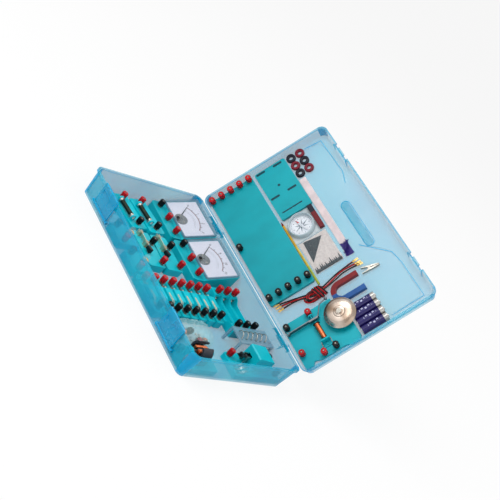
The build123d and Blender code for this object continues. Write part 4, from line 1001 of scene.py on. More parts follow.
@dataclass
class Studio:
    """The camera, the soft lights, the white surroundings and the floor."""

    lens: float = 82.38
    film: float = 36.0
    eye: Triple = (0.9475, -1.3332, 0.8373)
    turn: tuple[float, ...] = (0.64638, 0.547229, -0.050046, 0.529367)
    aim: Triple = (0.0, 0.05, 0.08)
    lamps: tuple[tuple[str, Triple, float, float], ...] = (
        ("key_light", (-0.5, -1.1, 1.5), 1.2, 21.0), ("fill_light", (1.4, -0.2, 1.0), 1.4, 6.0),
        ("back_light", (0.2, 1.2, 1.3), 1.2, 6.0))
    sky: float = 0.5
    floor_paint: str = "F4F4F4"
    floor_glow: float = 0.86
    floor_depth: float = 0.0004

    def camera(self) -> None:
        """Place the camera at the photograph's viewing angle."""
        data = bpy.data.cameras.new("camera")
        data.lens = self.lens
        data.sensor_width = self.film
        data.clip_start = 0.01
        eye = put("camera", data)
        eye.location = self.eye
        eye.rotation_mode = "QUATERNION"
        eye.rotation_quaternion = self.turn
        bpy.context.scene.camera = eye

    def lights(self) -> None:
        for name, place, size, power in self.lamps:
            data = bpy.data.lights.new(name, "AREA")
            data.size = size
            data.energy = power
            lamp = put(name, data)
            lamp.location = place
            lamp.rotation_mode = "QUATERNION"
            lamp.rotation_quaternion = (Vector(self.aim) - Vector(place)).to_track_quat("-Z", "Y")

    def seen(self, bench: Bench, *kinds: str) -> Value:
        """Tell rays of some kinds from the others.

        Args:
            bench: The world or material in the making.
            kinds: The kinds of ray.

        Returns:
            One for those rays and zero for the others.
        """
        path = bench.node("ShaderNodeLightPath", {}, {})
        found = Value(bench, path.outputs[f"Is {kinds[0]} Ray"])
        for kind in kinds[1:]:
            found = found.most(Value(bench, path.outputs[f"Is {kind} Ray"]))
        return found

    def surroundings(self) -> None:
        """White all round for rays that see it, softer for the light that it gives."""
        world = bpy.data.worlds.new("surroundings")
        bpy.context.scene.world = world
        bench = Bench(world)
        strength = self.seen(bench, "Camera", "Glossy").most(self.sky)
        glow = bench.value("ShaderNodeBackground", {}, {"Color": WHITE, "Strength": strength})
        bench.output(glow, "World")

    def floor(self) -> None:
        """A pale floor that keeps a light shadow."""
        form = Form()
        bmesh.ops.create_grid(form.bm, x_segments=1, y_segments=1, size=6.0)
        mesh = form.moved(z=-self.floor_depth).mesh("floor")
        mesh.materials.append(bpy.data.materials.new("floor"))
        bench = Bench(mesh.materials[0])
        matt = bench.value("ShaderNodeBsdfDiffuse", {}, {"Color": paint(self.floor_paint)})
        glow = bench.value("ShaderNodeEmission", {}, {"Color": WHITE, "Strength": 1.0})
        share = self.seen(bench, "Camera", "Glossy", "Transmission") * self.floor_glow
        bench.output(bench.value("ShaderNodeMixShader", {}, {0: share, 1: matt, 2: glow}))
        put("floor", mesh)

    def build(self) -> None:
        """Set the whole studio up."""
        self.camera()
        self.surroundings()
        self.floor()
        self.lights()
        bpy.context.scene.view_settings.view_transform = "Standard"


@dataclass
class Leads:
    """Six thin leads in the lid: a bundle that is tied in a knot, with a lug at every end."""

    radius: float = 1.2
    length: float = 0.1431
    pitch: float = 3.4
    layer: float = 3.0
    knot_rise: float = 2.9
    knot_points: Pair = (3, 4)
    folds: int = 8
    turns: int = 6
    middle: float = 1.25
    sway: float = 1.7
    stagger: float = 1.5
    lowest: float = 1.55
    unevenness: float = 0.15
    knot_at: Triple = (75.6, 79.5, 3.0)
    turns_at: Triple = (76.0, 83.0, 5.6)
    clip_at: Triple = (85, 178, 0.1)
    clip_turn: float = 80.0
    jaw_height: float = 5.5
    teeth: int = 6
    tooth_pitch: float = 1.6
    fan: tuple[float, ...] = (1.45, 1.05, 0.8, 0.72, 0.72, 0.76, 0.85, 1.4)
    line: tuple[Pair, ...] = (
        (57, 22), (59, 42), (65, 62), (71, 80), (70, 100), (64, 119), (59, 139), (60, 162))
    waves: tuple[tuple[float, ...], ...] = (
        (0, 0.6, -0.4, 0.5, 0, -0.5, 0.4, 0), (0, 0, 0.5, -0.3, 0.4, 0, -0.5, 0.3),
        (0.3, -0.5, 0, 0.4, -0.3, 0.5, 0, 0))

    def route(self, index: int) -> list[Vector]:
        """Give the control points of one lead, in the lid's millimetres.

        Args:
            index: The lead's number, from 0 to 5.

        Returns:
            The points.
        """
        column, layer = index % 3, index // 3
        points = []
        for k, ((u, v), wave) in enumerate(zip(self.line, self.waves[column])):
            lift = self.knot_rise if k in self.knot_points else 0.0
            across = (column + layer / 2 - self.middle) * self.pitch * self.fan[k] + self.middle * self.pitch
            height = self.lowest + layer * self.layer + self.unevenness * (k % 2) + lift
            points.append(Vector((u + across + self.sway * wave, v + column * self.stagger, height)))
        return points

    def build(self) -> None:
        """Lay the leads, then tie their knot and crimp their lugs."""
        stand = lid_place()
        for index in range(6):
            route = self.route(index)
            red = index % 2 == 0
            name = f"{'red' if red else 'black'}_lead_{index // 2 + 1}"
            points = [stand @ (p * MM) for p in route]
            line = smooth_line(name, points, self.radius * MM)
            line.data.materials.append(material(Look.RED_LEAD if red else Look.BLACK_LEAD))
            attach(line, "lid")
            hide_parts("red_leads" if red else "black_leads")
            lugs = self.lug(route[0], route[0] - route[1]).add(self.lug(route[-1], route[-1] - route[-2]))
            ends = lugs.done(f"{name}_lugs", "lid", "brass", [Look.BRASS], stand, ["lead_ends"])
            LOG.info("%s laid", name)
        self.clip().done("spring_clip", "lid", "nickel", [Look.NICKEL], stand, ["lead_ends"])
        self.knot("red", Look.RED_LEAD, 0)
        self.knot("black", Look.BLACK_LEAD, 1)

    def lug(self, end: Vector, way: Vector) -> Form:
        """Crimp a fork lug on a lead's end.

        Args:
            end: The lead's last point.
            way: The way out of the lead.

        Returns:
            The lug.
        """
        barrel = Form.turned([(1.2, 0.0), (1.5, 0.1), (1.5, 1.2), (1.32, 1.7), (1.5, 2.2), (1.5, 4.8),
                              (0.9, 5.2), (0.0, 5.2)], 16)
        for side in BOTH_SIDES:
            barrel.add(Form.block(0.8, 0.5, 3.6, 0.12).moved(side * 0.95, 0, 7.4))
        barrel.add(Form.block(2.7, 0.5, 2.8, 0.12).moved(0, 0, 4.8))
        return barrel.placed(Matrix.Translation(end * MM) @ way.to_track_quat("Z", "Y").to_matrix().to_4x4())

    def clip(self) -> Form:
        """Make the spring clip: two toothed jaws and a pivot with its spring.

        Returns:
            The clip where it lies in the lid.
        """
        form = Form()
        side = [(0, 0.6), (20, 0.4), (20, 1.2), (8, 3.4), (-12, 5.6), (-12, 4.6), (-2, 2.4)]
        for flip in (1, -1):
            jaw = Form.sheet([(x, y * flip) for x, y in side[::flip]], self.jaw_height).eased(0.25)
            for k in range(self.teeth):
                tooth = Form.bar(0.45, self.jaw_height - 0.2, sides=3)
                jaw.add(tooth.moved(19.2 - self.tooth_pitch * k, 0.35 * flip, 0.1))
            form.add(jaw)
        form.add(Form.bar(2.0, 4.6, 0.2).moved(2, 0, 0.5))
        for k in range(5):
            ring = [(2 + 2.6 * math.cos(a), 2.0 * math.sin(a), 1.0 + k * 0.9) for a in around(6)]
            form.add(Form.wire(ring, 0.3, True, 1))
        return form.swung(self.clip_turn, "Z").moved(*self.clip_at)

    def knot(self, colour: str, look: Look, first: int) -> None:
        """Fold the leads of one colour over the bundle's middle, and wind the last turns across them.

        Args:
            colour: The leads' colour.
            look: Their finish.
            first: The first of every second loop.
        """
        form = Form()
        u, v, h = self.knot_at
        for k in range(first, self.folds, 2):
            long, wide, lean = 19.5 - 0.9 * k, 10.2 - 0.8 * k, 0.16 * math.sin(1.9 * k + 0.6) - 0.1
            loop = [(u + wide * math.cos(a) + long * lean * math.sin(a), v + 0.5 * k + long * math.sin(a),
                     h + 0.85 * k + 0.9 * math.sin(2 * a + k)) for a in around(12)]
            form.add(Form.wire(loop, self.radius, True))
        u, v, h = self.turns_at
        for k in range(first, self.turns, 2):
            wide, lean = 12.4 - 0.7 * abs(k - 2), 3.0 + 0.8 * math.sin(1.7 * k)
            loop = [(u + wide * math.cos(a), v + 2.7 * k + lean * math.cos(a), h + 4.4 * math.sin(a))
                    for a in around(10)]
            form.add(Form.wire(loop, self.radius, True))
        form.done(f"{colour}_lead_knot", "lid", f"{colour}_lead", [look], lid_place())


@dataclass
class Case:
    """The tray, the lid, the latches and their pins."""

    rim: float = 3.4
    hairline: float = 0.22
    boss: Triple = (100.0, 15.0, 0.9)
    boss_v: float = 203.5
    panel_lines: tuple[tuple[Pair, ...], ...] = (
        ((-181, 192), (-181, 206), (-180.5, 218), (-178, 226), (-168, 230), (-140, 231), (-112, 231.5),
         (-98, 231), (-88, 227), (-79, 226)),
        ((37, 183.5), (46, 196), (62, 214), (76, 223), (88, 227), (110, 228), (150, 228), (168, 227.5),
         (175, 222), (176, 205), (176.5, 186), (176.5, 168)))

    def build(self) -> None:
        """Stand copies with rounded and deeper edges in for the case's nodes."""
        for node, body, slot, looks in (
                ("base_tray", "base", "blue_case", [Look.TRAY, Look.TRAY_EDGE]),
                ("lid_shell", "lid", "pale_blue_lid", [Look.LID, Look.LID_EDGE]),
                ("latch_left", "latch_left", "blue_case", [Look.LATCH, Look.TRAY_EDGE]),
                ("latch_right", "latch_right", "blue_case", [Look.LATCH, Look.TRAY_EDGE])):
            form = Form.node(node).dyed(lambda face: 2 * face.calc_area() < self.rim * face.calc_perimeter())
            form.eased(0.5, 50, 1).done(f"{node}_finish", body, slot, looks, replaces=[node])
        dress("hinge_pins", Look.STEEL)
        self.panel()

    def panel(self) -> None:
        """The hairline of the lid's raised panel and its long boss."""
        form = Form()
        for line in self.panel_lines:
            form.add(Form.wire([(u, v, 0.1) for u, v in line], self.hairline, sides=1))
        form.add(Form.plate(*self.boss, 7.4).moved(0, self.boss_v).eased(0.4, 50, 1))
        form.done("lid_panel_marks", "lid", "pale_blue_lid", [Look.LID, Look.LID_EDGE], lid_place())


@dataclass
class Posts:
    """Every binding post: fluted cap, nut, washer and the end of its stud."""

    cap_radius: float = 5.3
    cap_height: float = 10.0
    cap_sides: int = 16
    flute: Pair = (0.35, -0.5)
    crown: float = 1.3
    recess: tuple[Pair, ...] = ((1.2, 0.0), (0.3, -0.6))
    stud_end: tuple[Pair, ...] = ((0, 13.3), (1.3, 13.1), (1.6, 12.7), (1.6, 12.2), (0, 12.2))
    nut_radius: float = 3.4
    nut_height: float = 3.0
    washer_radius: float = 4.3
    washer: float = 0.5

    def cap(self) -> Form:
        """Make a fluted cap with a rounded top and a shallow recess.

        Returns:
            The cap.
        """
        form = Form.bar(self.cap_radius, self.cap_height, sides=self.cap_sides)
        form.bm.normal_update()
        sides = [f for f in form.bm.faces if abs(f.normal.z) < 0.1]
        sides.sort(key=lambda f: math.atan2(f.calc_center_median().y, f.calc_center_median().x))
        thickness, depth = self.flute
        bmesh.ops.inset_individual(form.bm, faces=sides[::2], thickness=thickness, depth=depth)
        top = max(form.bm.faces, key=lambda f: f.calc_center_median().z)
        bmesh.ops.bevel(form.bm, geom=list(top.edges), offset=self.crown, affect="EDGES", segments=3,
                        profile=0.5, material=-1)
        top = max(form.bm.faces, key=lambda f: f.calc_center_median().z)
        for thickness, depth in self.recess:
            bmesh.ops.inset_region(form.bm, faces=[top], thickness=thickness, depth=depth)
        return form

    def shaded_nut(self) -> Form:
        """Make a hexagon nut on its washer, and the stud's end above the cap.

        Returns:
            The three as one form.
        """
        form = Form.bar(self.nut_radius, self.nut_height - self.washer, 0.25, 6).moved(z=self.washer)
        form.add(Form.bar(self.washer_radius, self.washer, 0.12, 20))
        return form.add(Form.turned(self.stud_end, 12))

    def build(self) -> None:
        """Put caps and nuts at the posts of the tray and the lid."""
        for body, turn in (("base", HERE), ("lid", Matrix.Rotation(LID_TURN, 4, "X"))):
            for colour, look in (("red", Look.RED), ("black", Look.BLACK)):
                node = f"{body}_{colour}_knobs"
                self.row(node, self.cap, self.cap_height, turn).done(
                    f"{body}_{colour}_caps", body, f"{colour}_plastic", [look], replaces=[node], smooth=32)
            node = f"{body}_studs"
            self.row(node, self.shaded_nut, self.nut_height, turn).done(
                f"{body}_nuts", body, "nickel", [Look.SHADED_NUT], replaces=[node])

    def row(self, node: str, make: Callable[[], Form], height: float, turn: Matrix) -> Form:
        """Put a piece at every loose part of a CAD node.

        Args:
            node: The node.
            make: What makes a piece.
            height: The piece's height, which its part's middle halves.
            turn: The posts' turn from upright.

        Returns:
            All the pieces.
        """
        form = Form()
        for low, high in Form.node(node).islands():
            foot = (low + high) / 2 - turn.to_3x3() @ UP * height / 2
            form.add(make().placed(Matrix.Translation(foot * MM) @ turn))
        return form


@dataclass
class Meters:
    """The two meters: housing, printed scale, clear cover, movement and pointer."""

    fronts: tuple[tuple[str, float, tuple[str, ...]], ...] = (
        ("ammeter", -142.3, ("0", "1", "2", "3")), ("voltmeter", -50.3, ("0", "5", "10", "15")))
    slant: float = 17.012
    front_y: float = 48.0
    front_z: float = TRAY_FLOOR + 18.0
    card_size: Triple = (80.4, 62.5, 1.2)
    card_y: float = 35.05
    numeral_gap: float = 7.2
    numeral_size: float = 6.4
    spring_radii: Triple = (2.0, 2.9, 3.8)
    spring_rise: float = 3.9
    cover_size: Triple = (86.0, 68.07, 6.0)
    cover_y: float = 35.035
    cover_wall: float = 1.6
    bridge_y: float = 15.8

    def build(self) -> None:
        """Build both meters."""
        eased_copy("meter_cases", "base", "teal_plastic", Look.HALF_LIT_TEAL, 0.4, 50)
        for name, x, numerals in self.fronts:
            place = tray_place(x, self.front_y, self.front_z)
            place = place @ Matrix.Rotation(math.radians(self.slant), 4, "X")
            card = Form.plate(*self.card_size, 1.0).moved(0, self.card_y).mapped()
            card.done(f"{name}_scale", "base", "white_card", [Look.SCALE], place, ["meter_dials"])
            self.numerals(name, numerals, place)
            self.movement(name, place)
            self.cover(name, place)
            dress(f"{name}_needle", Look.POINTER)

    def numerals(self, name: str, numerals: Sequence[str], place: Matrix) -> None:
        """Put plain numbers round the scale.

        Args:
            name: The meter's name.
            numerals: The numbers, from left to right.
            place: The frame of its sloping face.
        """
        scale = Look.SCALE.value
        far = scale.radius + self.numeral_gap
        form = Form()
        for k, text in enumerate(numerals):
            turn = scale.half_turn * (2 * k / (len(numerals) - 1) - 1)
            form.add(Form.words(text, self.numeral_size).swung(-math.degrees(turn), "Z")
                     .moved(far * math.sin(turn), scale.pivot + far * math.cos(turn), self.card_size[2]))
        form.done(f"{name}_numerals", "base", "black_plastic", [Look.POINTER], place)

    def movement(self, name: str, place: Matrix) -> None:
        """Make the moving-coil unit: grey bridge, hair spring, screws and the block behind.

        Args:
            name: The meter's name.
            place: The frame of its sloping face.
        """
        pivot = Look.SCALE.value.pivot
        form = Form.turned([(0, 0.0), (12, 0.0), (12, 2.2), (11.4, 2.5), (3.0, 2.5), (2.6, 1.6),
                            (0, 1.6)], 40)
        form.moved(0, self.bridge_y)
        form.add(Form.block(17.2, 17.2, 8.0, 0.4).moved(0, self.bridge_y, -8.0).dyed(1))
        for radius in self.spring_radii:
            ring = [(radius * math.cos(a), pivot + radius * math.sin(a), self.spring_rise) for a in around(8)]
            form.add(Form.wire(ring, 0.12, True, 1).dyed(2))
        form.add(Form.bar(0.8, 3.4, 0.1, 12).moved(0, pivot, 1.0).dyed(2))
        for side in BOTH_SIDES:
            form.add(Form.bar(1.5, 0.8, 0.2, 16).moved(side * 8.2, 17.5, 2.3).dyed(2))
        form.done(f"{name}_movement", "base", "black_plastic", [Look.STEEL, Look.BLACK, Look.NICKEL], place,
                  ["meter_movements"])

    def cover(self, name: str, place: Matrix) -> None:
        """Make the clear cover with its deeper edges, and the zero screw's boss.

        Args:
            name: The meter's name.
            place: The frame of its sloping face.
        """
        shell = Form.plate(*self.cover_size, 4.0).moved(0, self.cover_y)
        low = [f for f in shell.bm.faces if f.calc_center_median().z < 0.01]
        bmesh.ops.delete(shell.bm, geom=low, context="FACES")
        bmesh.ops.solidify(shell.bm, geom=list(shell.bm.faces), thickness=self.cover_wall)
        shell.eased(0.4, 60)
        shell.dyed(lambda face: abs(face.normal.z) <= 0.9 or abs(face.calc_center_median().z - 5) >= 1.4)
        shell.add(Form.turned([(0, 6.0), (3.2, 6.0), (3.0, 6.9), (1.0, 7.0), (0.9, 6.6), (0, 6.6)], 20)
                  .moved(0, 7.5).dyed(2))
        shell.done(f"{name}_cover", "base", "clear_plastic", [Look.CLEAR, Look.CLEAR_EDGE, Look.BLACK], place,
                   ["meter_covers"])


@dataclass
class Boards:
    """The teal boards of the base with their contacts, wound tubes, switches and lamps."""

    row_x: float = 43.0
    row_first: float = -107.4
    row_count: int = 8
    pitch: float = 20.0
    rivet_reach: float = 20.0
    spring_rise: float = 7.5
    tubes_at: tuple[Pair, ...] = ((-142.0, -10.0), (-143.5, -51.0))
    tube_offset: Triple = (0, -11.0, 18.5)
    tube_turn: float = 7.0
    tube_turns: int = 42
    tube_start: float = -17.0
    tube_step: float = 0.81
    lamps_at: tuple[Pair, ...] = ((-81.0, -87.0), (-22.5, -87.0))
    cell_end: float = 80.6
    cell_first: float = 62.0
    cell_count: int = 3
    cell_spring: float = 3.0

    def build(self) -> None:
        """Build all of them."""
        for node in ("resistor_boards", "instrument_boards", "relay_board", "relay_cover", "motor_frame",
                     "battery_box_1", "battery_box_2", "battery_box_3"):
            eased_copy(node, "base", "teal_plastic", Look.LIT_TEAL, 0.4, 50)
        eased_copy("contact_strips", "base", "nickel", Look.NICKEL, 0.12, 60)
        eased_copy("switch_jaws", "base", "nickel", Look.CONTACT, 0.15, 60)
        for name in ("rear", "front"):
            eased_copy(f"switch_blade_{name}", f"switch_{name}", "nickel", Look.CONTACT, 0.15, 60)
            eased_copy(f"switch_handle_{name}", f"switch_{name}", "black_plastic", Look.BLACK, 0.3, 30)
        self.row_trim()
        self.tubes()
        self.lamps()
        self.cell_springs()

    def row_trim(self) -> None:
        """Two rivets and a bent contact spring on every narrow board."""
        form = Form()
        top, foot = DECK + self.spring_rise, DECK + 2.6
        bends = ((19.6, -2.2, foot), (18.2, -2.2, top), (8.0, -2.4, top), (0.6, -2.6, top), (-1.2, -3.7, top),
                 (0.6, -4.8, top), (8.0, -5.0, top), (18.2, -5.2, top), (19.6, -5.2, foot))
        for index in range(self.row_count):
            y = self.row_first + index * self.pitch
            for side in BOTH_SIDES:
                form.add(Form.turned([(0, 1.0), (0.8, 0.9), (1.3, 0.4), (1.3, 0.0), (0, 0.0)], 12)
                         .moved(self.row_x + side * self.rivet_reach, y + 5.6, DECK))
            form.add(Form.wire([(self.row_x + along, y + across, z) for along, across, z in bends], 0.5))
        form.done("row_contacts", "base", "nickel", [Look.CONTACT])

    def tubes(self) -> None:
        """Wire-wound tubes: porcelain ends, dark close turns and clamped bands."""
        form = Form()
        profile = [(0.0, -22.5), (2.5, -22.5), (2.5, -19.6), (3.6, -19.4), (3.6, -17.2)]
        for k in range(self.tube_turns):
            z = self.tube_start + k * self.tube_step
            profile += [(3.45, z), (3.8, z + self.tube_step * 0.3), (3.8, z + self.tube_step * 0.7)]
        profile += [(3.6, 17.3), (3.6, 19.4), (2.5, 19.6), (2.5, 22.5), (0.0, 22.5)]
        for x, y in self.tubes_at:
            tube = Form.turned(profile, 20).dyed(lambda face: abs(face.calc_center_median().z) >= 17.1)
            for side in BOTH_SIDES:
                tube.add(Form.hoop(3.7, 4.1, -0.9, 0.9, 24).moved(z=side * 16.2).dyed(2))
            tube.swung(90, "Y").moved(*self.tube_offset)
            form.add(tube.placed(tray_place(x, y, TRAY_FLOOR, self.tube_turn)))
        form.done("wound_tubes", "base", "enamelled_wire", [Look.DARK_WIRE, Look.PORCELAIN, Look.NICKEL],
                  replaces=["resistor_tubes"])

    def lamps(self) -> None:
        """Screw sockets and small bulbs with their filaments."""
        sockets, bulbs, inner = Form(), Form(), Form()
        thread = [(6.2, 0.0)]
        for k in range(5):
            thread += [(6.2, 0.7 + 1.4 * k), (5.8, 1.4 + 1.4 * k)]
        thread += [(6.2, 7.6), (6.2, 8.0), (4.7, 8.0), (4.7, 2.0), (0.0, 2.0), (0.0, 0.0), (6.2, 0.0)]
        screw = [(0.0, 2.0), (2.0, 2.0), (2.6, 2.8)]
        for k in range(4):
            screw += [(4.4, 3.2 + 1.3 * k), (4.0, 3.8 + 1.3 * k)]
        screw += [(4.5, 8.4), (4.5, 9.0), (0.0, 9.0)]
        globe = [(0.0, 17.8), (2.0, 17.4), (3.8, 16.3), (5.0, 14.6), (5.4, 12.6), (5.0, 10.8), (4.3, 9.6),
                 (4.1, 8.8), (3.8, 8.8), (4.0, 9.7), (4.7, 10.9), (5.1, 12.6), (4.7, 14.4), (3.6, 16.0),
                 (1.9, 17.0), (0.0, 17.3)]
        coil = [(-1.9 + 3.8 * t / 16, 0.28 * math.cos(t * 2.1), 13.2 + 0.28 * math.sin(t * 2.1))
                for t in range(17)]
        for x, y in self.lamps_at:
            place = tray_place(x, y, DECK)
            sockets.add(Form.turned(thread, 28).placed(place))
            bulbs.add(Form.turned(globe, 28).placed(place))
            inner.add(Form.turned(screw, 24).placed(place))
            inner.add(Form.turned([(0, 9.0), (1.2, 9.0), (0.7, 10.4), (0, 10.6)], 12).placed(place).dyed(1))
            for side in BOTH_SIDES:
                stay = [(side * 0.6, 0, 9.5), (side * 1.0, 0, 11.0), (side * 1.9, 0, 13.2)]
                inner.add(Form.wire(stay, 0.14).placed(place).dyed(2))
            inner.add(Form.wire(coil, 0.09, sides=1).placed(place).dyed(2))
        sockets.done("lamp_screw_sockets", "base", "nickel", [Look.NICKEL], replaces=["lamp_sockets"])
        bulbs.done("lamp_globes", "base", "clear_glass", [Look.GLASS], replaces=["lamp_bulbs"])
        inner.done("lamp_caps_filaments", "base", "brass", [Look.BRASS, Look.PORCELAIN, Look.STEEL])

    def cell_springs(self) -> None:
        """A coiled contact spring at the black end of every battery box."""
        form = Form()
        wide = self.cell_spring
        for index in range(self.cell_count):
            y = self.cell_first + self.pitch * index
            turns = [(self.cell_end - 0.22 * t, y + wide * math.cos(t * math.pi / 3),
                      TRAY_FLOOR + 8.5 + wide * math.sin(t * math.pi / 3)) for t in range(14)]
            form.add(Form.wire(turns, 0.35))
        form.done("cell_springs", "base", "nickel", [Look.NICKEL])


@dataclass
class Machines:
    """The relay's inner coil, the motor's rotor and magnets, and the open coil on its clear plate."""

    relay: Pair = (154.0, 52.0)
    relay_flanges: Pair = (12.2, 21.0)
    motor: Pair = (161.0, -76.0)
    shaft_height: float = TRAY_FLOOR + 26.0
    shaft: float = 50.0
    laminations: int = 11
    lamination: Triple = (17.0, 1.7, 8.0)
    lamination_pitch: float = 2.0
    rotor_turns: int = 5
    coil: Triple = (116.0, 75.0, TRAY_FLOOR + 26.8)
    coil_turns: int = 6
    coil_radius: float = 8.35
    coil_pitch: float = 11.5

    def build(self) -> None:
        """Build all three."""
        form = winding(13.6, 21.0, 4.6, 1.9, 0.6)
        for z in self.relay_flanges:
            form.add(Form.hoop(1.9, 5.6, z, z + 1.2, 28).dyed(1))
        form.moved(*self.relay).done("relay_winding", "base", "enamelled_wire", [Look.ENAMEL, Look.BLACK],
                                     replaces=["relay_coil"])
        eased_copy("relay_lever", "relay_lever", "black_plastic", Look.BLACK, 0.2, 50)
        self.rotor()
        eased_copy("motor_magnets", "base", "magnet_iron", Look.IRON, 0.3, 50)
        eased_copy("solenoid_plate", "base", "clear_plastic", Look.CLEAR_EDGE, 0.2, 60)
        self.open_coil()

    def rotor(self) -> None:
        """The rotor: shaft, laminated block, two copper windings over it and a split commutator."""
        form = Form.bar(1.2, self.shaft, 0.2).swung(-90, "X").moved(0, -self.shaft / 2)
        for k in range(self.laminations):
            along = (k - (self.laminations - 1) / 2) * self.lamination_pitch
            form.add(Form.block(*self.lamination, 0.5).moved(0, along, -self.lamination[2] / 2))
        for side in BOTH_SIDES:
            for k in range(self.rotor_turns):
                x, half, top = side * (2.6 + 1.15 * k), 13.2 - 0.3 * k, 5.3 - 0.25 * k
                loop = [(x, half, top - 1), (x, half - 1.4, top), (x, 1 - half, top), (x, -half, top - 1),
                        (x, -half, 1 - top), (x, 1.4 - half, -top), (x, half - 1, -top), (x, half, 1 - top)]
                form.add(Form.wire(loop, 0.62, True).dyed(1))
        form.add(Form.bar(3.5, 5.0, 0.25).swung(-90, "X").moved(0, 13.2).dyed(2))
        for k in range(3):
            form.add(Form.block(0.5, 5.2, 0.5, 0.0).moved(0, 15.7, 3.2).swung(120 * k + 30, "Y").dyed(3))
        form.done("rotor_finish", "motor_rotor", "copper_wire",
                  [Look.STEEL, Look.COPPER, Look.BRASS, Look.BLACK],
                  tray_place(*self.motor, self.shaft_height), ["motor_rotor"])

    def open_coil(self) -> None:
        """Open turns of wire through the clear plate."""
        points = []
        for eighth in range(8 * self.coil_turns + 1):
            turn = eighth * math.pi / 4
            along = (eighth / 8 - self.coil_turns / 2) * self.coil_pitch
            points.append((self.coil_radius * math.cos(turn), along, self.coil_radius * math.sin(turn)))
        Form.wire(points, 0.7, sides=3).done("open_coil_wire", "base", "copper_wire", [Look.NICKEL],
                                             tray_place(*self.coil), ["solenoid_coil"])


@dataclass
class SparesBag:
    """A slack clear bag of small spares."""

    at: Pair = (110.0, -50.0)
    half: Triple = (23.4, 43.5, 11.2)
    bulge: float = 3.2
    weld: float = 0.28
    foot: float = 2.5
    fill: float = 0.35
    caps: tuple[tuple[int, int, int, int], ...] = (
        (-9, -27, 10, 0), (3, -22, 35, 1), (9, 12, 80, 0), (-8, 5, 20, 1))
    caps_rise: float = 9.2
    screws: int = 9

    def build(self) -> None:
        """Make the film, its welded ends and the spares inside."""
        film = Form()
        bmesh.ops.create_cube(film.bm, size=2.0)
        bmesh.ops.subdivide_edges(film.bm, edges=film.bm.edges, cuts=26, use_grid_fill=True)
        for vert in film.bm.verts:
            vert.co = self.sag(vert.co)
        bag = film.done("spares_bag_film", "base", "clear_film", [Look.FILM], tray_place(*self.at),
                        ["parts_bag"], smooth=70)
        self.spares()

    def sag(self, co: Vector) -> Vector:
        """Find where one point of a cube comes to lie on the slack bag.

        Args:
            co: The point, between -1 and 1 on each axis.

        Returns:
            Its place on the bag.
        """
        far = sum(abs(c) ** self.bulge for c in co) ** (1 / self.bulge)
        x, y, z = (c / far for c in co)
        ends = max(0.0, abs(y) - 1 + self.weld) / self.weld
        height = (z + 1) * self.half[2] * (1 - 0.72 * ends ** 1.5) + self.foot + 0.1
        wrinkle = noise.noise(Vector((x * 4.1, y * 5.2, z * 3.0)))
        wrinkle += 0.6 * noise.noise(Vector((x * 11, y * 13, z * 7)))
        crease = abs(math.sin(7 * x + 5 * y + 3 * noise.noise(Vector((x, y * 2, 4.0)))))
        lift = (1.9 * wrinkle + 1.3 * crease - 0.6) * (0.2 + 0.8 * max(0.0, z + 0.3)) * (1 - 0.5 * ends)
        side = 1 + 0.05 * wrinkle - 0.16 * max(0.0, z)
        return Vector((x * self.half[0] * side, y * self.half[1], max(height + lift, self.foot)))

    def spares(self) -> None:
        """Post caps, wound coils and screws lying in the bag."""
        looks = [Look.RED, Look.BLACK, Look.COPPER, Look.NICKEL]
        form = Form()
        for x, y, turn, slot in self.caps:
            form.add(Posts().cap().swung(90, "X").swung(turn, "Z").moved(x, y, self.caps_rise).dyed(slot))
        form.add(winding(0, 9, 4.2, 2.0, 1.1).swung(90, "X").swung(25, "Z").moved(-3, -12, 8.6).dyed(2))
        form.add(winding(0, 6, 3.4, 1.4, 1.0).swung(64, "Y").moved(6, 27, 7.8).dyed(2))
        for k in range(self.screws):
            x, y = 11 * math.sin(k * 2.3), 30 * math.cos(k * 1.7)
            screw = Form.turned([(0, 0), (1.9, 0), (1.9, 0.9), (0.8, 1.3), (0.8, 7.0), (0, 7.6)], 10)
            form.add(screw.swung(90, "Y").swung(47.0 * k, "Z").moved(x, y, 4.9 + (k % 3)).dyed(3))
        form.done("small_spares", "base", "clear_film", looks, tray_place(*self.at))


@dataclass
class LidBoards:
    """The two teal plates in the lid, and dark plates of painted shade under the slotted one's slots."""

    plate: Triple = (-133.3, 129.2, 4.56)
    slot_shade_height: float = 1.5
    hole: Pair = (-11.0, -2.2)
    slots: tuple[tuple[float, ...], ...] = (
        (-51, -19, 4.4, 17.8), (-50, 14.5, 4.4, 17.8), (7.5, 14.5, 4.4, 17.8), (7.5, -19, 4.4, 17.8),
        (42, -3, 2.6, 40.0))

    def build(self) -> None:
        """Build the plates and the painted shade under the slots."""
        for node in ("resistance_board", "slotted_plate"):
            eased_copy(node, "lid", "teal_plastic", Look.TEAL, 0.3, 50)
        # Painted shade: dark plates under the slots and the hole, which show only shade.
        dark = Form.bar(2.5, self.slot_shade_height).moved(*self.hole)
        for u, v, wide, long in self.slots:
            dark.add(Form.plate(wide, long, self.slot_shade_height, 0.45 * wide).moved(u, v))
        dark.done("painted_slot_shade", "lid", "teal_plastic", [Look.SLOT_SHADE], lid_place(*self.plate))


@dataclass
class Washers:
    """Six rounded ring washers in the lid, red and near-black by turns."""

    first: Pair = (-180.4, 169.8)
    pitch: float = 18.0
    red: tuple[int, ...] = (1, 2, 5)

    def build(self) -> None:
        """Build all of them, in three columns of two."""
        red, dark = Form(), Form()
        u, v = self.first
        for k in range(6):
            column, row = divmod(k, 2)
            ring = Form.turned([(3.6, 0.4), (4.0, 0.0), (8.0, 0.0), (8.6, 0.7), (8.6, 4.0), (8.1, 4.7),
                                (7.3, 5.0), (5.0, 5.0), (4.0, 4.7), (3.6, 4.1), (3.6, 0.4)], 36)
            ring.moved(u + self.pitch * column, v + self.pitch * row)
            (red if k in self.red else dark).add(ring)
        red.done("red_washers", "lid", "red_plastic", [Look.DARK_RED], lid_place(), ["spare_rings"])
        dark.done("dark_washers", "lid", "black_plastic", [Look.NAVY], lid_place(), ["spare_rings"])


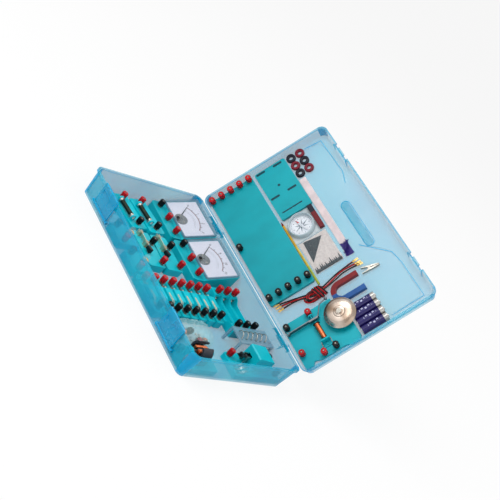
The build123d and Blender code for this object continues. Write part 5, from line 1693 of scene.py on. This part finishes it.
@dataclass
class Compass:
    """The compass: turned case, card with its rose, glass, needle, and the sheet that it lies on."""

    at: Pair = (-52.0, 122.8)
    rays: Pair = (16.0, 13.0)
    hole: float = 24.3
    sheet_half: Pair = (27.0, 27.4)
    sheet: float = 0.8

    def build(self) -> None:
        """Build every piece."""
        place = lid_place(*self.at)
        case = Form.turned([(0.0, 0.0), (23.2, 0.0), (24.0, 0.8), (24.0, 6.0), (23.4, 6.6), (23.4, 8.2),
                            (22.6, 9.6), (21.6, 10.0), (20.8, 9.6), (20.8, 1.6), (0.0, 1.6)], 64)
        case.add(Form.bar(0.6, 5.2, 0.2, 12).moved(0, 0, 1.3))
        case.done("compass_shell", "lid", "pale_grey_plastic", [Look.RIM], place, ["compass_case"])
        card = Form.turned([(0, 1.7), (20.6, 1.7), (20.6, 2.0), (0.7, 2.0), (0.7, 1.7)], 64).mapped()
        card.done("compass_card", "lid", "white_card", [Look.COMPASS], place)
        self.rose(place)
        glass = Form.turned([(0, 8.3), (20.7, 8.3), (20.7, 9.2), (20.0, 9.5), (0, 9.5)], 64)
        glass.done("compass_glass", "lid", "clear_glass", [Look.GLASS], place)
        dress("compass_needle", Look.NEEDLE_POINT)
        self.backing()

    def rose(self, place: Matrix) -> None:
        """Make an eight-pointed rose of thin rays, dark on one side and pale on the other.

        Args:
            place: The compass's frame.
        """
        form = Form()
        for k in range(8):
            for side, slot in ((1, 0), (-1, 1)):
                corners = [(0.0, 0.0), (side * 1.6, 3.0), (0.0, self.rays[k % 2])]
                ray = Form.sheet(corners[::side], 0.12).swung(45 * k + 22, "Z").moved(0, 0, 2.0)
                form.add(ray.dyed(slot))
        form.done("compass_rose", "lid", "white_card", [Look.ROSE_DARK, Look.CARD], place)

    def backing(self) -> None:
        """The pale sheet round the compass, square with soft corners."""
        form = Form()
        hole = bmesh.ops.create_circle(form.bm, segments=48, radius=self.hole)["verts"]
        edge = bmesh.ops.create_circle(form.bm, segments=48, radius=1.0)["verts"]
        wide, high = self.sheet_half
        for vert in edge:
            vert.co *= (abs(vert.co.x / wide) ** 10 + abs(vert.co.y / high) ** 10) ** -0.1
        rims = {e for v in hole + edge for e in v.link_edges}
        bmesh.ops.bridge_loops(form.bm, edges=list(rims))
        form.thickened(self.sheet).done("compass_sheet", "lid", "white_card", [Look.CARD],
                                        lid_place(*self.at, 0.1))


@dataclass
class LidContents:
    """What else lies in the lid: magnets, filings, the strip, the rod and the cells."""

    filings_at: Pair = (10.4, 127.2)
    card: Triple = (67.0, 53.0, 1.2)
    comb_teeth: int = 15
    comb_first: float = -23.6
    comb_pitch: float = 3.3
    heap: tuple[Pair, ...] = ((-32.2, -18.0), (11.6, -20.5), (-26.5, 15.5))
    heap_height: float = 1.6
    card_top: float = 1.4
    box_top: float = 5.6
    tuft_at: Pair = (18.5, 160.8)
    tuft: Pair = (25.0, 12.8)
    spikes: int = 64
    scatter: Pair = (0.618, 0.381)
    cell: Triple = (134.4, 114.6, 7.15)
    cell_pitch: float = 14.5
    cell_radius: float = 7.1
    cell_count: int = 4

    def build(self) -> None:
        """Build every piece."""
        eased_copy("bar_magnet", "lid", "magnet_paint", Look.MAGNET_BAR, 0.5, 50, "bar_magnet_paint")
        eased_copy("horseshoe_magnet", "lid", "magnet_paint", Look.HORSESHOE, 0.7, 50, "horseshoe_paint")
        self.filings()
        self.strip()
        self.cells()

    def filings(self) -> None:
        """The clear box with its card, the heap of filings and the comb of filings along one side."""
        place = lid_place(*self.filings_at)
        eased_copy("filings_box", "lid", "clear_plastic", Look.CLEAR, 0.25, 50, "filings_box_shell")
        Form.plate(*self.card, 1.5, 0.2).moved(z=0.2).done(
            "filings_card", "lid", "white_card", [Look.PINK_CARD], place)
        heap = Form.sheet(self.heap, self.heap_height)
        bmesh.ops.triangulate(heap.bm, faces=list(heap.bm.faces))
        bmesh.ops.subdivide_edges(heap.bm, edges=heap.bm.edges, cuts=20, use_grid_fill=True)
        for vert in heap.bm.verts:
            if vert.co.z > 1.0:
                vert.co.z += 0.7 * noise.noise(vert.co * 0.5) + 0.35 * noise.noise(vert.co * 1.9)
        for k in range(self.comb_teeth):
            tall = 8.0 + 3.0 * math.sin(k * 2.3) + 1.8 * math.sin(k * 5.1)
            tooth = Form.bar(1.9, tall, sides=4, top=0.3).swung(-90, "Y")
            heap.add(tooth.moved(30.5, self.comb_first + self.comb_pitch * k, 1.9))
        heap.add(Form.block(5.0, 50.0, 1.8).moved(30.6, 0, 1.4))
        for vert in heap.bm.verts:
            vert.co.z = min(max(vert.co.z, self.card_top), self.box_top)
        heap.done("iron_filings", "lid", "clear_plastic", [Look.FILINGS], place, smooth=80)

    def strip(self) -> None:
        """The pale strip with its purple bristled end, and the marker rod."""
        eased_copy("sample_strip", "lid", "white_card", Look.STRIP, 0.3, 50, "strip_finish")
        tuft = Form()
        for k in range(self.spikes):
            u, v = (start + size * (k * step % 1.0)
                    for start, size, step in zip(self.tuft_at, self.tuft, self.scatter))
            spike = Form.bar(1.5, 6.4 + 2.6 * math.sin(k * 1.3), sides=5, top=0.15)
            spike.swung(48 * math.sin(k * 2.9), "X").swung(44 * math.cos(k * 1.7), "Y")
            tuft.add(spike.moved(u, v, 0.9))
        tuft.done("purple_tuft", "lid", "white_card", [Look.NAVY_PURPLE], lid_place(), smooth=20)
        dress("marker_rod", Look.ROD)

    def cells(self) -> None:
        """Four cells in printed sleeves with bare ends."""
        form = Form()
        u, v, h = self.cell
        for k in range(self.cell_count):
            cell = Form.turned([(0, 0), (6.2, 0), (6.9, 0.25), (7.1, 0.7), (7.1, 47.6), (6.9, 48.3),
                                (6.3, 48.6), (6.0, 48.4), (3.6, 48.7), (3.2, 49.0), (2.8, 49.1), (2.7, 50.1),
                                (2.4, 50.3), (0, 50.3)], 40)
            cell.mapped(lambda co: (math.atan2(co.y, co.x) % (2 * math.pi) * self.cell_radius, co.z))
            form.add(cell.swung(180, "Z").swung(-90, "X").moved(u + self.cell_pitch * k, v, h))
        form.done("cell_sleeves", "lid", "indigo_cell", [Look.SLEEVE], lid_place(), ["battery_cells"])


@dataclass
class Bell:
    """The electric bell: turned gong, wound coil, frame and sprung armature."""

    gong: Pair = (133.0, 100.0)
    pillar: float = 12.0
    coil: Triple = (126.0, 58.0, 11.4)
    coil_ends: Pair = (0.0, 30.7)
    leads_to: tuple[Pair, ...] = ((176.0, 46.0), (176.0, 68.0))

    def build(self) -> None:
        """Build every piece."""
        eased_copy("bell_board", "lid", "teal_plastic", Look.HALF_LIT_TEAL, 0.3, 50)
        over = lid_place(*self.gong).inverted()
        form = Form.node("bell_frame").eased(0.2, 60)
        form.dyed(lambda face: (over @ (face.calc_center_median() * MM)).xy.length < self.pillar * MM)
        form.done("bell_frame_finish", "lid", "teal_plastic", [Look.HALF_LIT_TEAL, Look.NICKEL],
                  replaces=["bell_frame"])
        eased_copy("bell_armature", "bell_armature", "steel", Look.STEEL, 0.12, 60)
        self.dome()
        self.winding()

    def dome(self) -> None:
        """The gong with its turned steps and rolled rim."""
        profile = [(2.4, 23.4), (5.6, 23.4), (6.2, 22.7), (7.2, 22.6), (9.2, 22.5), (9.8, 21.9), (11.5, 21.9),
                   (15.0, 21.8), (18.5, 21.3), (21.2, 20.4), (23.4, 19.1), (25.2, 17.4), (26.2, 16.3),
                   (27.0, 15.9), (27.0, 15.4), (26.0, 15.3), (24.6, 16.2), (22.4, 18.3), (20.2, 19.3),
                   (17.8, 20.1), (14.0, 20.6), (9.2, 20.7), (5.4, 22.0), (2.4, 22.0), (2.4, 23.4)]
        Form.turned(profile, 72).mapped().done("gong_finish", "lid", "nickel_gong", [Look.GONG],
                                               lid_place(*self.gong), ["bell_gong"], smooth=28)

    def winding(self) -> None:
        """The bobbin with its copper winding, laid along the lid, and its two loose ends."""
        form = winding(1.2, 30.7, 4.6, 2.6, 0.8)
        for z in self.coil_ends:
            form.add(Form.turned([(2.6, z), (5.9, z), (6.2, z + 0.3), (6.2, z + 0.9), (5.9, z + 1.2),
                                  (2.6, z + 1.2), (2.6, z)], 32).dyed(1))
        form.swung(90, "Y").moved(*self.coil)
        middle = self.coil[1]
        for side, (u, v) in zip(BOTH_SIDES, self.leads_to):
            form.add(Form.wire([(156.0, middle + side * 4.4, 12.5), (160, middle + side * 9, 14),
                                (168, v - side * 3, 10), (u - 5, v, 6.0)], 0.35))
        form.done("bell_winding", "lid", "enamelled_wire", [Look.COPPER, Look.BLACK], lid_place(),
                  ["bell_coil"])


def main() -> None:
    """Build the camera and the leads, then every other piece."""
    logging.basicConfig(level=logging.INFO, format="%(name)s %(message)s")
    for part in (Studio(), Leads(), Case(), Posts(), Meters(), Boards(), Machines(), SparesBag(), LidBoards(),
                 Washers(), Compass(), LidContents(), Bell()):
        part.build()


if __name__ == "__main__":
    main()
